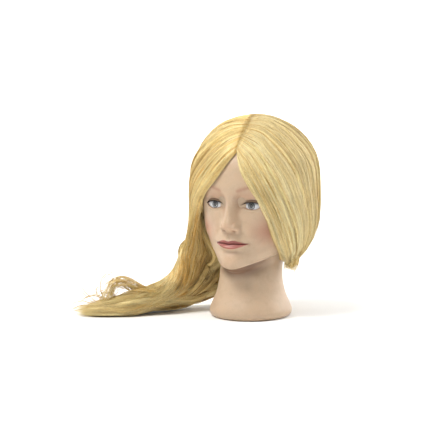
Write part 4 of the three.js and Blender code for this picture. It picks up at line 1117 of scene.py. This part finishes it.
def keep_hue(c):
    """Colours no brighter than white, with their hue kept."""
    return c / np.maximum(c.max(-1, keepdims=True), 1.0)


def strand_look(rng, n, m, cid, width, end0, end1, dark=0.14, layer=None, root=0.0):
    nc = cid.max() + 1
    tau = np.linspace(0, 1, m)
    R = np.full((n, m), width) * rng.uniform(0.75, 1.2, n)[:, None]
    R = R * (0.3 + 0.7 * sstep(0, 0.04, tau))[None] * (0.12 + 0.88 * sstep(1.0, 0.88, tau))[None]
    st, _ = streaks(rng, nc, 0.13)
    c_ = clump_colour(rng, nc, dark)[cid] * 0.55 + clump_colour(rng, n, dark) * 0.45
    c_ = keep_hue(c_ * st[cid] * np.array([1.15, 1.12, 1.02]))
    C = np.repeat(c_[:, None], m, axis=1)
    # painted shade: strands deeper in a lock come out darker and warmer
    if layer is not None:
        C = C * (1 - (1 - layer)[:, None, None] * np.array([0.12, 0.20, 0.36]))
    pale = (0.45 * sstep(0.72, 1.0, tau))[None, :, None]                  # lengths are lighter at their ends
    C = C * (1 - pale) + lin(255, 238, 178) * pale
    glint = np.exp(0.17 * smooth_noise(rng, nc, m, 9)[cid] * sstep(0.25, 0.5, tau)[None])[..., None]
    C = keep_hue(C * glint ** np.array([0.95, 1.0, 1.2]))
    if root:
        C = C * (1 - np.array([0.3, 0.6, 1.0])[None] * root * (1 - sstep(0.0, 0.05, tau))[:, None])[None]
    return R, C, rng.uniform(end0, end1, n)


# long strands from the right of the parting, over the temple and down into the tress
def long_right(n, m, seed, clumps=170):
    rng = np.random.default_rng(seed)
    mh = 12
    P0, P1, N_ = on_head(RIGHT, mh, 1.0)
    cen, cid, off = clumped(rng, n, clumps, 0.40)
    u_ = np.clip(0.66 * (cen[cid] + off), 0, 0.66)
    layer = rng.random(n) ** 0.7
    A, B, NN = spline_rows(P0, u_), spline_rows(P1, u_), spline_rows(N_, u_)
    th = np.linspace(0, 1, mh)
    k = (0.76 + 0.26 * layer)[:, None] * np.ones(mh)[None] + rng.normal(0, 0.07, clumps)[cid][:, None] * sstep(0.05, 0.4, th)[None]
    root_k = (0.84 + 0.14 * sstep(0.03, 0.25, u_))[:, None]
    k *= root_k + (1 - root_k) * sstep(-0.02, 0.2, th)[None]
    e = sstep(0.0, 0.10, u_)[:, None]
    k *= (0.34 + 0.66 * e) * (1 - sstep(0.55, 1.0, th)[None]) + (0.58 + 0.42 * e) * sstep(0.55, 1.0, th)[None]
    head_part = A + (B - A) * k[..., None]
    b_ = np.clip(layer * 1.7 - 0.72 + rng.normal(0, 0.12, n), -0.95, 0.97)
    a = (1 - 2 * u_ / 0.66) * np.sqrt(1 - 0.75 * b_ ** 2) * 0.98
    ml = 26
    tail = in_lock(rng, FALL, a, b_, cid, ml, twist=-1.5, tangle=0.14, wave=0.22, wave_n=2.4)
    ctrl = np.concatenate([head_part[:, :-1], tail[:, 1:]], axis=1)
    P = resample(ctrl, m)
    # fine wander
    T = along(P)
    S_ = np.cross(T, np.array([0.2, -0.9, 0.3]))
    S_ /= np.maximum(np.linalg.norm(S_, axis=-1, keepdims=True), 1e-9)
    S2 = np.cross(T, S_)
    tau = np.linspace(0, 1, m)
    g_ = sstep(0.0, 0.12, tau)[None]
    P = P + S_ * ((smooth_noise(rng, clumps, m, 9)[cid] * 0.8 + smooth_noise(rng, n, m, 10) * 0.62) * g_)[..., None]
    P = P + S2 * ((smooth_noise(rng, clumps, m, 9)[cid] * 0.5 + smooth_noise(rng, n, m, 10) * 0.45) * g_)[..., None]
    R, C, end = strand_look(rng, n, m, cid, 0.27, 0.70, 0.98, 0.14, layer, 0.16)
    P = resample_rows(P, tau[None] * end[:, None] * (m - 1))
    return keep_above(P, R), R, C


P, R, C = long_right(3300, 44, 51, clumps=120)
emit("strands_right_long", P, R, C, None, ("hair_front_right", "hair_side_fall", "hair_tress"))


def bundle(name, rows_, n, m, seed, clumps, width, ends=(0.8, 1.0), twist=0.0, tangle=0.15, nodes=(), dark=0.16, wave=0.0, wave_n=3.0, starts=0.0):
    rng = np.random.default_rng(seed)
    ca, cb = disc(rng, clumps)
    cid = rng.integers(0, clumps, n)
    a = np.clip(ca[cid] + rng.normal(0, 0.10, n), -1, 1)
    b_ = np.clip(cb[cid] + rng.normal(0, 0.10, n), -1, 1)
    r_ = np.hypot(a, b_)
    a, b_ = np.where(r_ > 1, a / r_, a), np.where(r_ > 1, b_ / r_, b_)
    P = in_lock(rng, rows_, a, b_, cid, m, twist, tangle, wave, wave_n)
    R, C, end = strand_look(rng, n, m, cid, width, *ends, dark, np.clip(np.hypot(a, b_), 0, 1) ** 1.2)
    s0 = rng.uniform(0, starts, n) if starts else np.zeros(n)
    tau = np.linspace(0, 1, m)
    P = resample_rows(P, (s0[:, None] + tau[None] * (end - s0)[:, None]) * (m - 1))
    P = keep_above(P, R)
    emit(name, P, R, C, None, nodes)


bundle("strands_nape_sweep", SWEEP, 2500, 44, 52, 52, 0.29, (0.66, 0.98), 2.6, 0.17, ("hair_nape_sweep", "hair_tress"), wave=0.22, wave_n=3.0)
bundle("strands_inner_fall", INNER, 1500, 42, 53, 36, 0.29, (0.70, 0.98), 1.6, 0.17, ("hair_side_fall", "hair_tress"))
bundle("strands_flip", FLIP, 620, 32, 54, 34, 0.27, (0.74, 1.0), 1.2, 0.26, ("hair_side_fall",), starts=0.1)
for i_, (label, (rows_, n_)) in enumerate(CURLS.items()):
    wide_ = [(a_[0], a_[1], a_[2], a_[3] * 1.15, a_[4] * 1.5, *a_[5:]) for a_ in rows_]
    bundle("strands_" + label, wide_, n_ // 3, 44, 60 + i_, 34, 0.20, (0.45, 1.0), 3.2, 0.66, ("hair_tress_end",), 0.12, starts=0.12)
TUFT = [(58, -6, 128, 10, 8, 1, 0, 0), (60, 4, 110, 12, 9, 1, 0, 0), (60.5, 8, 94, 12, 9, 1, 0, 0), (60, 8, 82, 11, 8, 1, 0, 0), (59, 7, 73, 9, 7, 1, 0, 0), (57, 6, 64, 7, 6, 1, 0, 0)]
bundle("strands_tuft_left", TUFT, 560, 22, 55, 60, 0.24, (0.70, 1.0), 0.3, 0.30, ("hair_tuft_left",), starts=0.3)


def stray_hairs(name, paths, copies, m, seed, width, spread, nodes):
    rng = np.random.default_rng(seed)
    P = []
    for p in paths:
        for _ in range(copies):
            q = resample(np.array(p, float)[None], m)[0]
            q = q * 1.0 + rng.normal(0, spread, 3)[None] + smooth_noise(rng, 3, m, 2).T * spread * 0.9
            P.append(q)
    P = np.array(P)
    n = len(P)
    cid = np.arange(n)
    R, C, end = strand_look(rng, n, m, cid, width, 0.7, 1.0, 0.1)
    C = C * np.array([0.84, 0.76, 0.62])
    tau = np.linspace(0, 1, m)
    P = keep_above(resample_rows(P, tau[None] * end[:, None] * (m - 1)), R)
    emit(name, P, R, C, None, nodes)


stray_hairs("strands_tress_strays", STRAYS, 5, 60, 71, 0.28, 1.1, ("hair_tress_end",))


# closed bodies under the free locks
def under_lock(name, rows_, shrink, m, nodes, seed, t0=0.0, t1=1.0):
    rng = np.random.default_rng(seed)
    C_, side_, up_, A, B, _ = lock_frames(rows_, m)
    i0, i1 = int(t0 * (m - 1)), int(t1 * (m - 1)) + 1
    C_, side_, up_, A, B = C_[i0:i1], side_[i0:i1], up_[i0:i1], A[i0:i1], B[i0:i1]
    k = len(C_)
    ns = 48
    an = np.linspace(0, 2 * np.pi, ns, endpoint=False)
    tau = np.linspace(0, 1, k)
    end_ = np.sqrt(np.clip(1 - (2 * np.clip(tau, 0, 0.5) * 1.0 - 1) ** 8, 0, 1)) * np.sqrt(np.clip(1 - (2 * np.clip(tau, 0.5, 1) - 1) ** 8, 0, 1))
    ridge = 1 + 0.05 * smooth_noise(rng, ns, k, 4).T
    rad_a = (A * shrink * end_)[:, None] * ridge
    rad_b = (B * shrink * end_)[:, None] * ridge
    V_ = C_[:, None] + side_[:, None] * (np.cos(an)[None] * rad_a)[..., None] + up_[:, None] * (np.sin(an)[None] * rad_b)[..., None]
    V_ = V_[1:-1]
    k = len(V_)
    V_[..., 2] = np.maximum(V_[..., 2], 0.5)
    g = np.arange(k * ns).reshape(k, ns)
    gn = np.roll(g, -1, axis=1)
    q = np.stack([g[:-1], gn[:-1], gn[1:], g[1:]], -1).reshape(-1, 4)
    c0, c1 = k * ns, k * ns + 1
    f0 = np.stack([np.full(ns, c0), gn[0], g[0]], -1)
    f1 = np.stack([np.full(ns, c1), g[-1], gn[-1]], -1)
    verts_ = np.concatenate([V_.reshape(-1, 3), V_[0].mean(0)[None], V_[-1].mean(0)[None]])
    # painted shade: the body under the lock is coloured darker, as the shaded depth of the hair
    cc = clump_colour(rng, ns, 0.3, 0.1) * np.array([0.76, 0.64, 0.46])
    col_ = np.concatenate([np.broadcast_to(cc[None], (k, ns, 3)).reshape(-1, 3), cc[:1], cc[:1]])
    uvg = np.stack(np.meshgrid(np.linspace(0.02, 0.98, k), (np.arange(ns) + 0.5) / ns, indexing="ij"), -1).reshape(-1, 2)
    o = new_mesh(name, verts_, [q, f0, f1], colour=col_, uv=np.concatenate([uvg, [[0.005, 0.5], [0.995, 0.5]]]))
    put(o, HAIR_MAT)
    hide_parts(*nodes)


FALL_TOP = [(-78, 4, 128, 16, 5, *OUT_), (-83, 2, 112, 20, 8, *OUT_)] + FALL
under_lock("body_side_fall", FALL_TOP, 0.74, 120, ("hair_side_fall", "hair_tress"), 61, 0.0, 0.80)
under_lock("body_nape_sweep", SWEEP, 0.72, 120, ("hair_nape_sweep", "hair_tress"), 62, 0.0, 0.82)
under_lock("body_inner_fall", INNER, 0.70, 100, ("hair_side_fall", "hair_tress"), 64, 0.0, 0.75)
under_lock("body_tuft_left", [(60, 14, 96, 12, 11, 1, 0, 0), (61, 11, 86, 12, 11, 1, 0, 0), (60.5, 9, 78, 10, 8, 1, 0, 0), (60, 8, 72, 6, 5, 1, 0, 0)], 0.8, 40, ("hair_tuft_left",), 63)


# ---------------------------------------------------------------- floor, light
def stage_floor():
    """A wide flat sheet with a little waviness-free edge, far larger than the view."""
    me = bpy.data.meshes.new("floor")
    n = 24
    g = np.linspace(-9, 9, n)
    X, Y = np.meshgrid(g + AX, g + AY, indexing="ij")
    v = np.stack([X, Y, np.zeros_like(X)], -1).reshape(-1, 3)
    k = np.arange(n * n).reshape(n, n)
    f = np.stack([k[:-1, :-1], k[1:, :-1], k[1:, 1:], k[:-1, 1:]], -1).reshape(-1, 4)
    me.from_pydata(v.tolist(), [], f.tolist())
    o = bpy.data.objects.new("floor", me)
    bpy.context.scene.collection.objects.link(o)
    m = Mat("floor_paper")
    m.set(Roughness=0.8, Specular_IOR_Level=0.2)
    n = m.noise(30, 3, 0.5)
    m.link(m.ramp(n.outputs["Fac"], [(0.3, (0.905, 0.905, 0.90)), (0.7, (0.915, 0.915, 0.91))]), "Base Color")
    o.data.materials.append(m.m)
    return o


stage_floor()


def backdrop():
    """A lit white paper wall bowed round behind the head, well away from it."""
    d = Vector((-b.x, -b.y, 0)).normalized()
    mid = math.atan2(d.y, d.x)
    na, nz = 49, 13
    aa = mid + np.radians(np.linspace(-62, 80, na))
    hh = np.linspace(-0.02, 3.2, nz)
    A, H = np.meshgrid(aa, hh, indexing="ij")
    v = np.stack([AX + 3.6 * np.cos(A), AY + 3.6 * np.sin(A), H], -1).reshape(-1, 3)
    k = np.arange(na * nz).reshape(na, nz)
    f = np.stack([k[:-1, :-1], k[1:, :-1], k[1:, 1:], k[:-1, 1:]], -1).reshape(-1, 4)
    me = bpy.data.meshes.new("backdrop")
    me.from_pydata(v.tolist(), [], f.tolist())
    o = bpy.data.objects.new("backdrop", me)
    bpy.context.scene.collection.objects.link(o)
    m = Mat("backdrop_paper")
    m.set(Roughness=0.9, Emission_Strength=0.75)
    m.p.inputs["Base Color"].default_value = (0.92, 0.92, 0.92, 1)
    m.p.inputs["Emission Color"].default_value = (1, 1, 1, 1)
    o.data.materials.append(m.m)


backdrop()


def sun(name, az, el, level, angle, colour=(1, 1, 1)):
    """Even soft light from an azimuth (0 = in front of the face, 90 = from +X) and height angle."""
    l = bpy.data.lights.new(name, "SUN")
    l.energy, l.color, l.angle = level * math.pi, colour, math.radians(angle)
    o = bpy.data.objects.new(name, l)
    bpy.context.scene.collection.objects.link(o)
    a, e = math.radians(az), math.radians(el)
    d = Vector((math.sin(a) * math.cos(e), -math.cos(a) * math.cos(e), math.sin(e)))
    o.location = Vector((AX, AY, 0.14)) + d * 2
    o.rotation_mode = "QUATERNION"
    o.rotation_quaternion = (-d).to_track_quat("-Z", "Y")


sun("key", -34, 58, 0.80, 24, (1.0, 0.985, 0.96))
sun("top", -20, 80, 0.28, 60)
sun("side", 140, 30, 0.92, 40)
w = bpy.data.worlds.new("studio")
w.use_nodes = True
w.node_tree.nodes["Background"].inputs["Color"].default_value = (1, 1, 1, 1)
w.node_tree.nodes["Background"].inputs["Strength"].default_value = 0.20
bpy.context.scene.world = w
bpy.context.scene.view_settings.view_transform = "Standard"
bpy.context.scene.view_settings.look = "None"
bpy.context.scene.view_settings.exposure = 0.0
